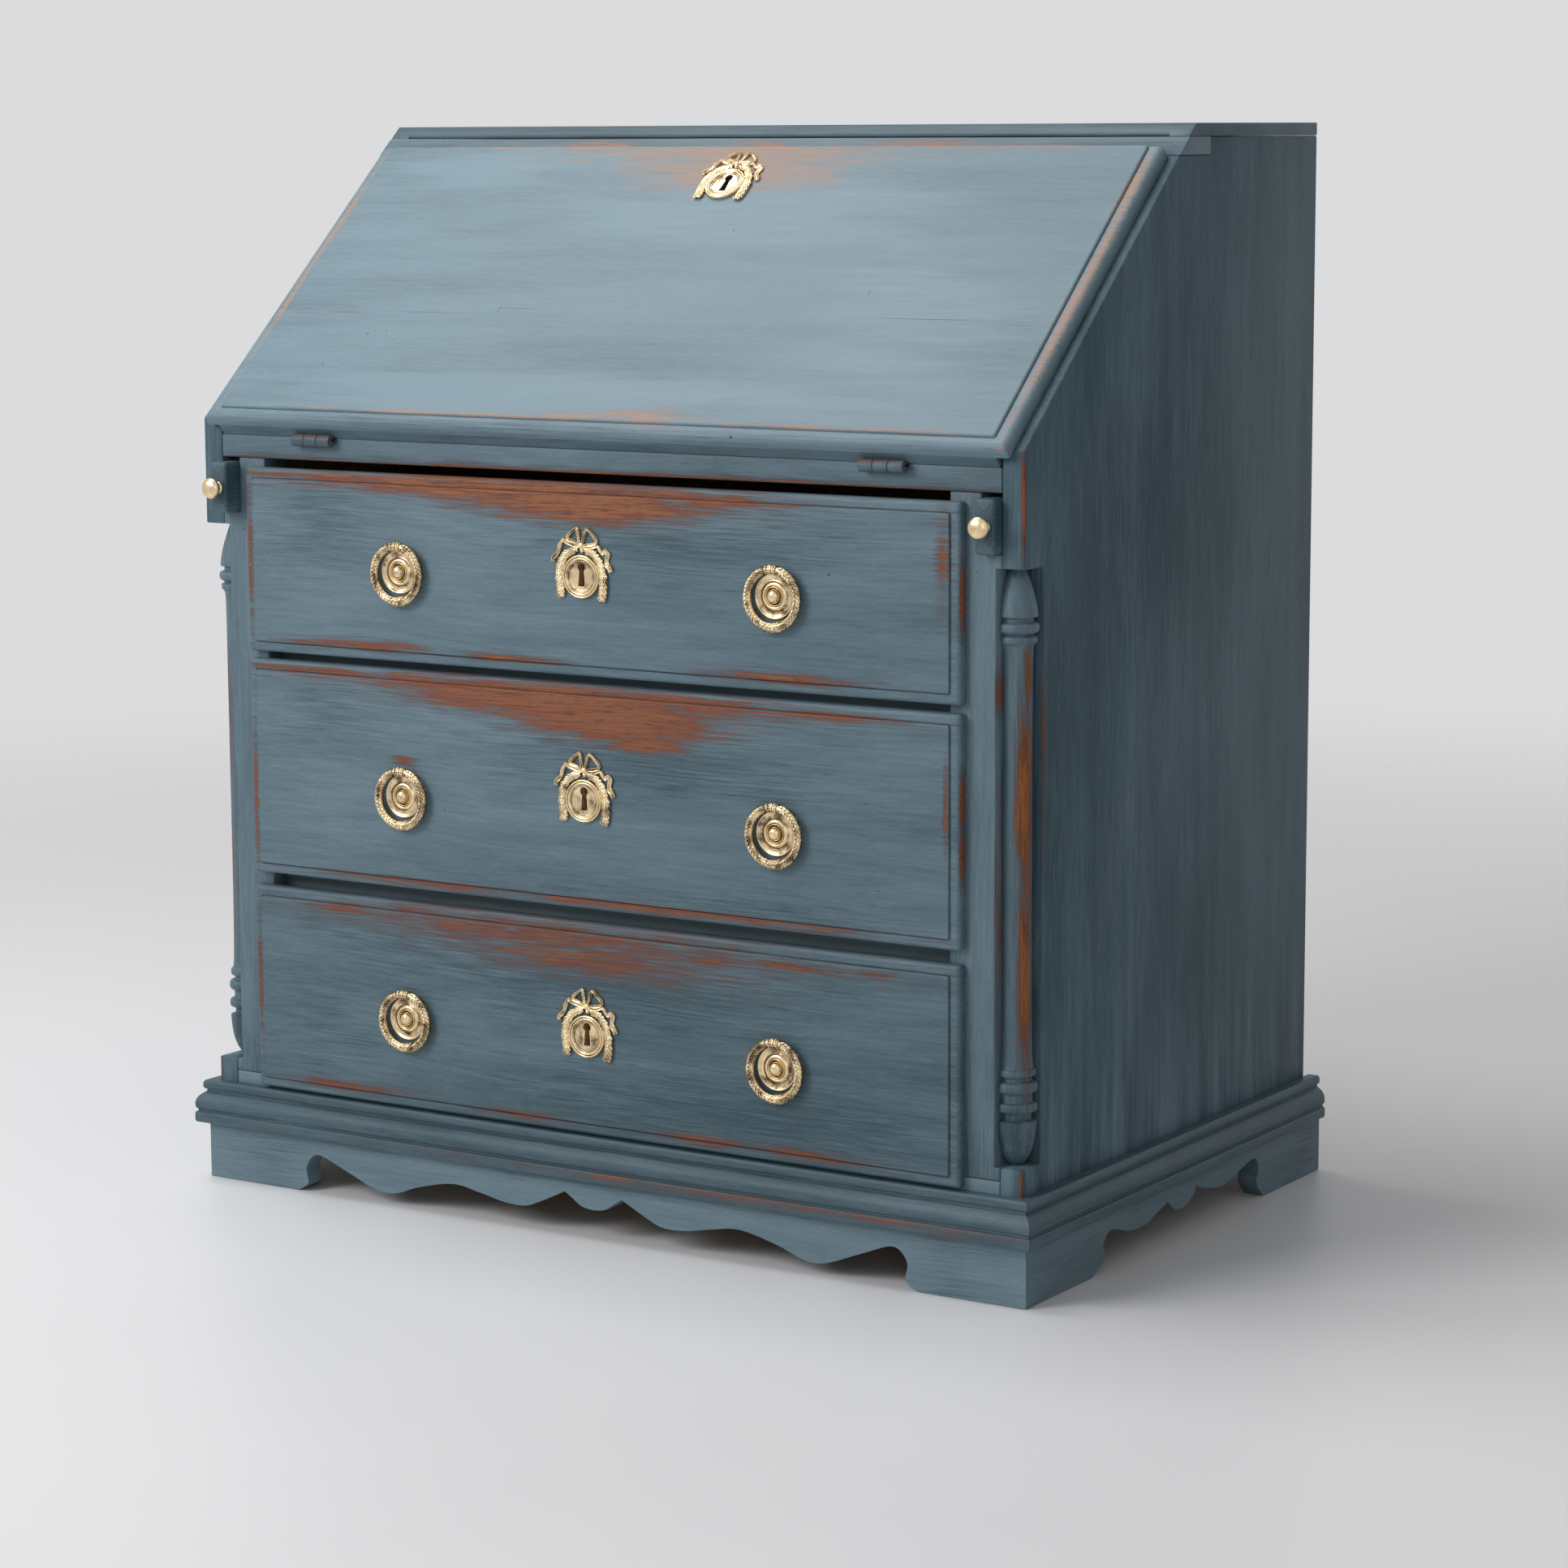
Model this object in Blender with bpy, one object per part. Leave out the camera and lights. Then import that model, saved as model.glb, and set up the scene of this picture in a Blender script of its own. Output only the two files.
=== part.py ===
"""A painted slant-front writing desk: three lipped drawers under a fall front, in metres, +Z up.

The front faces -Y. The origin is on the floor, under the middle of the whole desk with its knobs.
"""

import math

import bmesh
import bpy

# Clearances and board thicknesses
GAP = 0.0003
RUN = 0.001
BOARD = 0.022
OVERRUN = 0.004

# Carcase
CASE_WIDTH = 0.900
CASE_DEPTH = 0.5626
CASE_HEIGHT = 1.0184
SLOPE_FOOT_UP = 0.0146
TOP_DEEP = 0.2497
TOP_BOARD = 0.012
TOP_NOSE = 0.022
TOP_STEP = 0.004
SLOPE_RAIL_DEEP = 0.060
SLOPE_RAIL = 0.016
BACK_BOARD = 0.014
DESK_TOP = 0.7297
DESK_BOARD = 0.0217
BOTTOM_BOARD = 0.020

# Base: bracket-cut aprons and the moulding on them
BASE_OUT = 0.0084
BASE_FRONT_OUT = 0.0074
BASE_BACK_OUT = 0.0186
BASE_HEIGHT = 0.0544
APRON = 0.020
MOULDING_OUT = 0.0184
MOULDING_HEIGHT = 0.0417
MOULDING_SHORT = 0.0086
BACK_RAIL_DROP = 0.034

# Front frame
STILE = 0.073
POST_DEEP = 0.0425
NOTCH_OUT = 0.028
NOTCH_DEEP = 0.0350
NOTCH_UP = 0.012
NOTCH_DOWN = 0.0645
RAIL_SET_BACK = 0.020
RAIL = 0.022
RAIL_DEEP = 0.055
FRAME_SPACE = 0.0286
FRAME_BACK_RAIL = 0.050
RUNNER_INSET = 0.037
GUIDE_HIGH = 0.020
PARTITION = 0.012

# Turned columns in the front corners
COLUMN_IN = 0.0195
COLUMN_BACK = 0.0235
COLUMN_WIDEST = 0.019

# Lopers
LOPER_WIDE = 0.0194
LOPER_HIGH = 0.048
LOPER_FLOOR = 0.0525
LOPER_SPACE = 0.1086
LOPER_LEDGE = 0.020
LOPER_OUT = {"left": 0.020, "right": 0.013}
KNOB = 0.010
KNOB_LONG = 0.015

# Fall front
SLOPE_CLEAR = 0.0005
FALL_HEAD_CLEAR = 0.0015
FALL_LIP = 0.012
FALL_LIP_IN = 0.011
FALL_IN = 0.002
FALL_BORDER = 0.015
FALL_FIELD_FOOT = 0.019
FIELD = 0.002
FALL_OVOLO = 0.007
FALL_KEY_DOWN = 0.0542
HINGE_OUT = 0.006
HINGE_DOWN = 0.0023
BARREL = 0.00575
HINGE_PIN = 0.0022
HINGE_IN = 0.115
HINGE_WIDE = 0.046
LEAF = 0.002
LEAF_LONG = 0.036
LEAF_CLEAR = 0.00118

# Drawers
LIP = 0.010
LIP_OVER = 0.016
LIP_OVOLO = 0.004
BORDER = 0.010
BODY_DEEP = 0.020
BODY_DOWN = 0.0025
BOX_SPACE = 0.0586
BOX_SIDE = 0.012
BOX_FLOOR = 0.008
BOX_DOWN = 0.016
TOP_LIP_FOOT = 0.5245
MIDDLE_LIP_FOOT = 0.310
BOTTOM_LIP_FOOT = 0.099
DESK_LIP_GAP = 0.008
UPPER_LIP_GAP = 0.0072
LOWER_LIP_GAP = 0.0125
TOP_LAP = 0.0075
MIDDLE_LAP = 0.005
BOTTOM_LAP = 0.009
TOP_BODY_DOWN = 0.0105
# How far up each front its ring pulls and its keyhole are, as shares of its height
RING_SHARES = {"top": 0.4843, "middle": 0.4269, "bottom": 0.4383}
KEY_SHARES = {"top": 0.5328, "middle": 0.4969, "bottom": 0.4786}

# Locks
LOCK_HALF = 0.030
LOCK_HIGH = 0.045
LOCK_THICK = 0.013
BOLT_HALF = 0.010
BOLT_THICK = 0.006
BOLT_LONG = 0.029
BOLT_WALL = 0.0033
BOLT_THROW = 0.012
TOP_BOLT_THROW = 0.016
FALL_LOCK_THICK = 0.0095
FALL_LOCK_LONG = 0.072

# Brass ring pulls
PULL_IN = 0.170
ROSETTE = 0.0205
ROSETTE_HIGH = 0.0075
RING = 0.0255
RING_TUBE = 0.00425
RING_NECK = 0.0024
RING_DROP = 0.0016
RING_OUT = 0.0056
EYE = 0.0046
EYE_WIDE = 0.007
EYE_TAB = 0.0022

# Brass escutcheons
PLATE = 0.020
PLATE_RIM = 0.0035
CREST = 0.0040
BOW = 0.0034
STRIP_LIFT = 0.0001
KNOT = 0.0058
KNOT_UP = 0.0252
KEY_HEAD = 0.0042
KEY_NECK = 0.0026
KEY_FOOT = 0.0036
KEY_HIGH = 0.0217

# Pigeonholes behind the fall
GALLERY_DEEP = 0.1966
GALLERY_SHELF_UP = 0.070
GALLERY_BOARD = 0.009

CASE_HALF = CASE_WIDTH / 2
BASE_HALF = CASE_HALF + BASE_OUT
INNER_HALF = CASE_HALF - BOARD
OPENING_HALF = CASE_HALF - STILE
LIP_HALF = OPENING_HALF + LIP_OVER
FIELD_HALF = LIP_HALF - BORDER
PULL_X = OPENING_HALF - PULL_IN
FALL_LIP_HALF = CASE_HALF - FALL_LIP_IN
FALL_HALF = INNER_HALF - FALL_IN
FALL_FIELD_HALF = FALL_LIP_HALF - FALL_BORDER
HINGE_MIDDLE = INNER_HALF - HINGE_IN
BASE_DEPTH = BASE_FRONT_OUT + CASE_DEPTH + BASE_BACK_OUT
MOULDING_DEPTH = BASE_DEPTH - MOULDING_SHORT
FRONT_REACH = LOPER_OUT["left"] + KNOB_LONG - BASE_FRONT_OUT
BASE_FRONT = (FRONT_REACH - BASE_DEPTH) / 2
FRONT = BASE_FRONT + BASE_FRONT_OUT
BACK = FRONT + CASE_DEPTH
INNER_DEPTH = CASE_DEPTH - BACK_BOARD
FRAME_DEEP = INNER_DEPTH - FRAME_SPACE
LOPER_LONG = INNER_DEPTH - LOPER_SPACE
BOX_LONG = INNER_DEPTH - BODY_DEEP - BOX_SPACE
SLOPE_REACH = CASE_DEPTH - TOP_DEEP
SIDE_FOOT = BASE_HEIGHT + GAP
CASE_TOP = CASE_HEIGHT - TOP_BOARD - GAP
RAIL_FOOT = CASE_TOP - SLOPE_RAIL
DESK_FOOT = DESK_TOP - DESK_BOARD
SLOPE_FOOT = DESK_TOP + SLOPE_FOOT_UP
SLOPE = math.atan2(CASE_HEIGHT - SLOPE_FOOT, SLOPE_REACH)
HINGE_Y = FRONT - HINGE_OUT
HINGE_Z = DESK_TOP - HINGE_DOWN
LOPER_Z = DESK_FOOT - LOPER_FLOOR + GAP
PARTITION_OUT = INNER_HALF - LOPER_WIDE - RUN
UPPER_RAIL_TOP = TOP_LIP_FOOT + TOP_LAP
LOWER_RAIL_TOP = MIDDLE_LIP_FOOT + MIDDLE_LAP
BOTTOM_TOP = BOTTOM_LIP_FOOT + BOTTOM_LAP
NOTCH_FOOT = BOTTOM_TOP + NOTCH_UP
NOTCH_TOP = DESK_FOOT - NOTCH_DOWN
TOP_DRAWER = {
    "foot": TOP_LIP_FOOT, "head": DESK_FOOT - DESK_LIP_GAP,
    "floor": UPPER_RAIL_TOP, "body_head": DESK_FOOT - TOP_BODY_DOWN,
}
MIDDLE_DRAWER = {
    "foot": MIDDLE_LIP_FOOT, "head": TOP_LIP_FOOT - UPPER_LIP_GAP,
    "floor": LOWER_RAIL_TOP, "body_head": UPPER_RAIL_TOP - RAIL - BODY_DOWN,
}
BOTTOM_DRAWER = {
    "foot": BOTTOM_LIP_FOOT, "head": MIDDLE_LIP_FOOT - LOWER_LIP_GAP,
    "floor": BOTTOM_TOP, "body_head": LOWER_RAIL_TOP - RAIL - BODY_DOWN,
}
DRAWERS = {"top": TOP_DRAWER, "middle": MIDDLE_DRAWER, "bottom": BOTTOM_DRAWER}
SIDES = {"left": -1, "right": 1}


def paint(name, colour, roughness, metallic=0.0):
    """A Principled material with the piece's own colour."""
    made = bpy.data.materials.new(name)
    made.use_nodes = True
    shader = made.node_tree.nodes["Principled BSDF"]
    shader.inputs["Base Color"].default_value = (*colour, 1.0)
    shader.inputs["Roughness"].default_value = roughness
    shader.inputs["Metallic"].default_value = metallic
    made.diffuse_color = (*colour, 1.0)
    return made


def clear_scene():
    for old in list(bpy.data.objects):
        bpy.data.objects.remove(old)


clear_scene()
BLUE = paint("blue_paint", (0.105, 0.160, 0.200), 0.55)
BARE = paint("bare_pine", (0.420, 0.270, 0.140), 0.70)
BRASS = paint("brass", (0.640, 0.480, 0.220), 0.30, 1.0)
IRON = paint("iron", (0.160, 0.150, 0.140), 0.50, 1.0)


def show(name, mesh, finish, parent=None, at=(0, 0, 0)):
    """One piece: its mesh, its finish and its place."""
    piece = bpy.data.objects.new(name, mesh)
    bpy.context.collection.objects.link(piece)
    if not mesh.materials:
        mesh.materials.append(finish)
    piece.parent = parent
    piece.location = at
    return piece


def pivot(name, at, turn=(0, 0, 0)):
    """An empty that carries what moves together."""
    empty = bpy.data.objects.new(name, None)
    bpy.context.collection.objects.link(empty)
    empty.location = at
    empty.rotation_euler = turn
    return empty


def hide(piece):
    """Marks a cutter or a shape that is joined to another."""
    piece.hide_render = True
    piece.display_type = "WIRE"


def combine(piece, others, operation):
    for other in others:
        hide(other)
        step = piece.modifiers.new(operation.lower(), "BOOLEAN")
        step.operation = operation
        step.solver = "EXACT"
        step.object = other
    return piece


def cut(piece, *others):
    return combine(piece, others, "DIFFERENCE")


def join(piece, *others):
    return combine(piece, others, "UNION")


def finished(piece):
    """The piece's mesh with its modifiers worked in, to be shared by like pieces."""
    bpy.context.view_layer.update()
    graph = bpy.context.evaluated_depsgraph_get()
    mesh = bpy.data.meshes.new_from_object(piece.evaluated_get(graph))
    hide(piece)
    return mesh


def closed_mesh(name, points, faces):
    mesh = bpy.data.meshes.new(name)
    mesh.from_pydata(points, [], faces)
    shape = bmesh.new()
    shape.from_mesh(mesh)
    bmesh.ops.recalc_face_normals(shape, faces=shape.faces)
    shape.to_mesh(mesh)
    shape.free()
    return mesh


AXES = {
    "X": lambda along, first, second: (along, first, second),
    "Y": lambda along, first, second: (first, along, second),
    "Z": lambda along, first, second: (first, second, along),
}


def slab(name, first, second, finish=BLUE, parent=None, at=(0, 0, 0)):
    """A solid between two outlines of as many points each."""
    count = len(first)
    faces = [list(range(count)), list(range(count, 2 * count))]
    faces += [[i, (i + 1) % count, count + (i + 1) % count, count + i] for i in range(count)]
    return show(name, closed_mesh(name, first + second, faces), finish, parent, at)


def prism(name, outline, start, end, axis, finish=BLUE, parent=None, at=(0, 0, 0)):
    """An outline drawn out along an axis."""
    place = AXES[axis]
    first = [place(start, *point) for point in outline]
    second = [place(end, *point) for point in outline]
    return slab(name, first, second, finish, parent, at)


def block(name, corner, opposite, finish=BLUE, parent=None, at=(0, 0, 0)):
    """A rectangular board between two corners."""
    x, y, z = corner
    far_x, far_y, far_z = opposite
    outline = [(x, y), (far_x, y), (far_x, far_y), (x, far_y)]
    return prism(name, outline, z, far_z, "Z", finish, parent, at)


def turned_mesh(name, profile, steps, axis):
    """A profile of (radius, distance along the axis) turned about the axis, from centre to centre."""
    place = AXES[axis]
    rings = [(radius, along) for radius, along in profile if radius > 0]
    points = [place(profile[0][1], 0, 0), place(profile[-1][1], 0, 0)]
    for radius, along in rings:
        for step in range(steps):
            angle = 2 * math.pi * step / steps
            points.append(place(along, radius * math.cos(angle), radius * math.sin(angle)))
    faces = []
    for step in range(steps):
        after = (step + 1) % steps
        faces.append([0, 2 + step, 2 + after])
        last = 2 + (len(rings) - 1) * steps
        faces.append([1, last + step, last + after])
        for ring in range(len(rings) - 1):
            low = 2 + ring * steps
            high = low + steps
            faces.append([low + step, low + after, high + after, high + step])
    mesh = closed_mesh(name, points, faces)
    mesh.shade_smooth()
    mesh.set_sharp_from_angle(angle=math.radians(35))
    return mesh


def rod(name, radius, start, end, axis, steps, finish=BRASS, parent=None, at=(0, 0, 0)):
    mesh = turned_mesh(name, [(0, start), (radius, start), (radius, end), (0, end)], steps, axis)
    return show(name, mesh, finish, parent, at)


def smooth_run(points, steps):
    """Points of a Catmull-Rom curve through the given ones."""
    padded = [points[0], *points, points[-1]]
    run = []
    for before, here, there, beyond in zip(padded, padded[1:], padded[2:], padded[3:]):
        for step in range(steps):
            t = step / steps
            run.append(tuple(
                (2 * b + (c - a) * t + (2 * a - 5 * b + 4 * c - d) * t * t
                 + (3 * b - a - 3 * c + d) * t ** 3) / 2
                for a, b, c, d in zip(before, here, there, beyond)))
    return run + [points[-1]]


# The sloping side boards: a notch in front for the column, another at the top for the rail above the fall
def slope_y(height):
    """Where the slope is at a height."""
    return FRONT + (height - SLOPE_FOOT) / math.tan(SLOPE)


def side_panels():
    outline = [
        (FRONT, SIDE_FOOT), (FRONT, NOTCH_FOOT),
        (FRONT + NOTCH_DEEP, NOTCH_FOOT), (FRONT + NOTCH_DEEP, NOTCH_TOP),
        (FRONT, NOTCH_TOP), (FRONT, SLOPE_FOOT),
        (slope_y(RAIL_FOOT - GAP), RAIL_FOOT - GAP),
        (slope_y(RAIL_FOOT) + SLOPE_RAIL_DEEP + GAP, RAIL_FOOT - GAP),
        (slope_y(RAIL_FOOT) + SLOPE_RAIL_DEEP + GAP, CASE_TOP),
        (BACK, CASE_TOP), (BACK, SIDE_FOOT),
    ]
    for side, sign in SIDES.items():
        prism(f"side_panel_{side}", outline, sign * INNER_HALF, sign * CASE_HALF, "X")


def top_board():
    """Its front edge follows the slope; between two end blocks the edge is stepped back."""
    foot = CASE_TOP + GAP
    nose = [
        (slope_y(foot), foot), (slope_y(CASE_HEIGHT), CASE_HEIGHT),
        (BACK, CASE_HEIGHT), (BACK, foot),
    ]
    board = prism("top_board", nose, -CASE_HALF, CASE_HALF, "X")
    reach = CASE_HALF - TOP_NOSE
    hollow = block(
        "top_hollow", (-reach, slope_y(foot) - OVERRUN, foot - OVERRUN),
        (reach, slope_y(foot) + TOP_STEP, foot + TOP_STEP * math.tan(SLOPE) + RUN))
    cut(board, hollow)


def slope_rail(fall):
    """The fixed rail above the fall, with the mortise for the fall's bolt."""
    outline = [
        (slope_y(RAIL_FOOT), RAIL_FOOT), (slope_y(CASE_TOP), CASE_TOP),
        (slope_y(RAIL_FOOT) + SLOPE_RAIL_DEEP, CASE_TOP),
        (slope_y(RAIL_FOOT) + SLOPE_RAIL_DEEP, RAIL_FOOT),
    ]
    rail = prism("slope_rail", outline, -CASE_HALF, CASE_HALF, "X")
    mouth = block(
        "slope_rail_mortise",
        (-BOLT_HALF - RUN, FALL_LONG - RUN, FALL_BOLT_LOW - RUN / 2),
        (BOLT_HALF + RUN, FALL_LONG + BOLT_THROW + RUN, FALL_BOLT_LOW + BOLT_THICK + RUN / 2),
        IRON, fall)
    cut(rail, mouth)


def desk_board(leaf_recesses):
    """The writing board: hinge leaves let into its front edge, a mortise below for the top drawer's bolt."""
    board = block(
        "desk_board",
        (-INNER_HALF + GAP, FRONT, DESK_FOOT),
        (INNER_HALF - GAP, BACK - BACK_BOARD - GAP, DESK_TOP))
    mouth = bolt_mouth("desk_mortise", DESK_FOOT, DRAWERS["top"]["head"] + TOP_BOLT_THROW)
    cut(board, mouth, *leaf_recesses)


def bolt_mouth(name, foot, head):
    """The mortise over a drawer's lock."""
    back = FRONT + BODY_DEEP + GAP
    return block(
        name,
        (-BOLT_HALF - RUN, back + BOLT_WALL - RUN / 2, foot - OVERRUN),
        (BOLT_HALF + RUN, back + BOLT_WALL + BOLT_THICK + RUN / 2, head), IRON)


def guide_strip(name, sign, foot):
    """A low strip that keeps a drawer square on its runner."""
    return block(
        name,
        (sign * (OPENING_HALF + GAP), FRONT + POST_DEEP + GAP, foot - OVERRUN),
        (sign * PARTITION_OUT, FRONT + FRAME_DEEP, foot + GUIDE_HIGH), BARE)


def loper_partition(name, sign):
    """The wall between the top drawer and a loper, with the ledge that the loper slides on."""
    near = PARTITION_OUT - PARTITION
    far = INNER_HALF - GAP
    foot = UPPER_RAIL_TOP - OVERRUN
    ledge = LOPER_Z - GAP
    outline = [
        (near, foot), (PARTITION_OUT, foot), (PARTITION_OUT, ledge - LOPER_LEDGE),
        (far, ledge - LOPER_LEDGE), (far, ledge), (PARTITION_OUT, ledge),
        (PARTITION_OUT, DESK_FOOT - GAP), (near, DESK_FOOT - GAP),
    ]
    outline = [(sign * x, z) for x, z in outline]
    return prism(name, outline, FRONT + POST_DEEP + GAP, FRONT + FRAME_DEEP, "Y", BARE)


def dust_frames():
    """Two glued frames: front rail, runners and back rail, with the guides that stand on them."""
    rail_half = OPENING_HALF - GAP
    wide_half = INNER_HALF - GAP
    shoulder = FRONT + POST_DEEP + GAP
    for name, top in (("upper", UPPER_RAIL_TOP), ("lower", LOWER_RAIL_TOP)):
        outline = [
            (-rail_half, FRONT + RAIL_SET_BACK), (rail_half, FRONT + RAIL_SET_BACK),
            (rail_half, shoulder), (wide_half, shoulder), (wide_half, FRONT + FRAME_DEEP),
            (-wide_half, FRONT + FRAME_DEEP), (-wide_half, shoulder), (-rail_half, shoulder),
        ]
        frame = prism(f"dust_frame_{name}", outline, top - RAIL, top, "Z", BARE)
        hole = block(
            f"dust_frame_{name}_hole",
            (-OPENING_HALF + RUNNER_INSET, FRONT + RAIL_SET_BACK + RAIL_DEEP, top - RAIL - OVERRUN),
            (OPENING_HALF - RUNNER_INSET, FRONT + FRAME_DEEP - FRAME_BACK_RAIL, top + OVERRUN))
        cut(frame, hole, bolt_mouth(f"bolt_mouth_{name}", top - RAIL, top - RAIL + BOLT_THROW + RUN))
        join(frame, *(guide_strip(f"guide_{name}_{side}", sign, top) for side, sign in SIDES.items()))
        if name == "upper":
            join(frame, *(loper_partition(f"partition_{side}", sign) for side, sign in SIDES.items()))


def bottom_board():
    board = block(
        "bottom_board",
        (-INNER_HALF + GAP, FRONT, BOTTOM_TOP - BOTTOM_BOARD),
        (INNER_HALF - GAP, BACK - BACK_BOARD - GAP, BOTTOM_TOP), BARE)
    join(board, *(guide_strip(f"bottom_guide_{side}", sign, BOTTOM_TOP) for side, sign in SIDES.items()))


def back_panel():
    block(
        "back_panel",
        (-INNER_HALF + GAP, BACK - BACK_BOARD, SIDE_FOOT),
        (INNER_HALF - GAP, BACK, CASE_TOP), BARE)


def corner_posts():
    """Upright behind each column, notched for it and slotted at its head for the loper."""
    for side, sign in SIDES.items():
        post = block(
            f"corner_post_{side}",
            (sign * OPENING_HALF, FRONT, BOTTOM_TOP + GAP),
            (sign * (INNER_HALF - GAP), FRONT + POST_DEEP, DESK_FOOT - GAP))
        notch = block(
            f"post_notch_{side}",
            (sign * (CASE_HALF - NOTCH_OUT), FRONT - OVERRUN, NOTCH_FOOT),
            (sign * CASE_HALF, FRONT + NOTCH_DEEP, NOTCH_TOP))
        slot = block(
            f"loper_slot_{side}",
            (sign * PARTITION_OUT, FRONT - OVERRUN, LOPER_Z - GAP),
            (sign * CASE_HALF, FRONT + POST_DEEP + OVERRUN, DESK_FOOT + OVERRUN))
        cut(post, notch, slot)


# Radius and height of each turned member, as shares of the widest radius and of the column's height
COLUMN_SHARES = (
    (0.34, 0.0), (0.50, 0.0075), (0.67, 0.018), (0.83, 0.034), (0.93, 0.056), (0.97, 0.0735),
    (0.74, 0.080), (0.74, 0.090), (0.95, 0.0925), (1.0, 0.0990), (0.95, 0.1055),
    (0.78, 0.108), (0.78, 0.122), (0.95, 0.1260), (1.0, 0.1322), (0.95, 0.1405),
    (0.74, 0.144), (0.74, 0.150), (0.90, 0.153), (0.90, 0.163), (0.79, 0.168),
    (0.74, 0.205), (0.71, 0.300), (0.70, 0.500), (0.70, 0.750), (0.71, 0.850), (0.76, 0.872),
    (0.89, 0.8775), (0.89, 0.886), (0.74, 0.890), (0.95, 0.8955), (1.0, 0.902),
    (0.95, 0.9085), (0.76, 0.912), (0.76, 0.918), (0.93, 0.9215), (0.90, 0.9340), (0.80, 0.9525),
    (0.60, 0.975), (0.42, 0.991), (0.30, 1.0),
)


def columns():
    """A turned column, cut flat where it is glued into the notch."""
    foot = NOTCH_FOOT + GAP
    high = NOTCH_TOP - NOTCH_FOOT - 2 * GAP
    turned = [(COLUMN_WIDEST * radius, foot + high * up) for radius, up in COLUMN_SHARES]
    profile = [(0, foot), *turned, (0, foot + high)]
    for side, sign in SIDES.items():
        at = (sign * (CASE_HALF - COLUMN_IN), FRONT + COLUMN_BACK, 0)
        column = show(f"column_{side}", turned_mesh(f"column_{side}", profile, 20, "Z"), BLUE, None, at)
        wall = CASE_HALF - NOTCH_OUT + GAP
        beside = block(
            f"column_cut_{side}",
            (sign * (wall - COLUMN_WIDEST), FRONT - COLUMN_WIDEST, foot - OVERRUN),
            (sign * wall, FRONT + NOTCH_DEEP + COLUMN_WIDEST, foot + high + OVERRUN))
        behind = block(
            f"column_back_cut_{side}",
            (sign * (wall - OVERRUN), FRONT + NOTCH_DEEP - GAP, foot - OVERRUN),
            (sign * (CASE_HALF + COLUMN_WIDEST), FRONT + NOTCH_DEEP + COLUMN_WIDEST, foot + high + OVERRUN))
        cut(column, beside, behind)


# The lower edge of the aprons: runs of points, shares of the half width or the depth, and of the height
FRONT_APRON_SHARES = (
    ((1.0, 0.0), (0.761, 0.0)),
    ((0.761, 0.0), (0.735, 0.150), (0.738, 0.460), (0.707, 0.690), (0.640, 0.500),
     (0.555, 0.230), (0.505, 0.215), (0.440, 0.400), (0.353, 0.555), (0.285, 0.480),
     (0.225, 0.385), (0.170, 0.375), (0.130, 0.500), (0.096, 0.640)),
    ((0.070, 0.745), (0.050, 0.640), (0.029, 0.525), (0.0, 0.485)),
)
SIDE_APRON_SHARES = (
    ((0.0, 0.0), (0.204, 0.0)),
    ((0.204, 0.0), (0.243, 0.215), (0.240, 0.480), (0.268, 0.660), (0.324, 0.500),
     (0.380, 0.480), (0.415, 0.580), (0.450, 0.680)),
    ((0.455, 0.680), (0.474, 0.520), (0.497, 0.465), (0.520, 0.490), (0.545, 0.640)),
    ((0.549, 0.755), (0.575, 0.650), (0.637, 0.520), (0.673, 0.570), (0.717, 0.690),
     (0.757, 0.755), (0.772, 0.560), (0.766, 0.280), (0.792, 0.0)),
    ((0.792, 0.0), (1.0, 0.0)),
)


def shaped_edge(runs, reach, height, steps):
    """The apron's lower edge in real sizes, with corners where one run ends and the next starts."""
    edge = []
    for run in runs:
        points = [(reach * along, height * up) for along, up in run]
        for point in smooth_run(points, steps) if len(points) > 2 else points:
            if not edge or math.dist(edge[-1], point) > GAP:
                edge.append(point)
    return edge


def aprons():
    """Boards on edge, mitred in front, whose bracket-cut lower edges leave the feet."""
    half = shaped_edge(FRONT_APRON_SHARES, BASE_HALF, BASE_HEIGHT, 2)
    edge = half + [(-x, z) for x, z in reversed(half[:-1])]
    outline = [(BASE_HALF, BASE_HEIGHT), *edge, (-BASE_HALF, BASE_HEIGHT)]
    # The mitre: the back of the front board is shorter at each end
    inside = BASE_HALF - APRON - GAP
    face = [(x, BASE_FRONT, z) for x, z in outline]
    back = [(math.copysign(min(abs(x), inside), x), BASE_FRONT + APRON, z) for x, z in outline]
    slab("apron_front", face, back)

    lower = shaped_edge(SIDE_APRON_SHARES, BASE_DEPTH, BASE_HEIGHT, 2)
    outline = [(0, BASE_HEIGHT), *lower, (BASE_DEPTH, BASE_HEIGHT)]
    for side, sign in SIDES.items():
        face = [(sign * BASE_HALF, BASE_FRONT + max(y, GAP), z) for y, z in outline]
        back = [(sign * (BASE_HALF - APRON), BASE_FRONT + max(y, APRON + GAP), z) for y, z in outline]
        slab(f"apron_{side}", face, back)
    block(
        "base_back_rail",
        (-inside, BASE_FRONT + BASE_DEPTH - APRON, BASE_HEIGHT - BACK_RAIL_DROP),
        (inside, BASE_FRONT + BASE_DEPTH, BASE_HEIGHT), BARE)


# The base moulding's section: shares of its reach and of its height
MOULDING_SHARES = (
    (0.0, 0.0), (0.90, 0.0), (1.0, 0.07), (1.0, 0.22), (0.88, 0.26), (0.88, 0.31), (0.96, 0.36),
    (0.98, 0.46), (0.90, 0.58), (0.74, 0.68), (0.54, 0.735), (0.54, 0.79), (0.66, 0.82),
    (0.66, 0.96), (0.58, 1.0), (0.0, 1.0),
)


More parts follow.
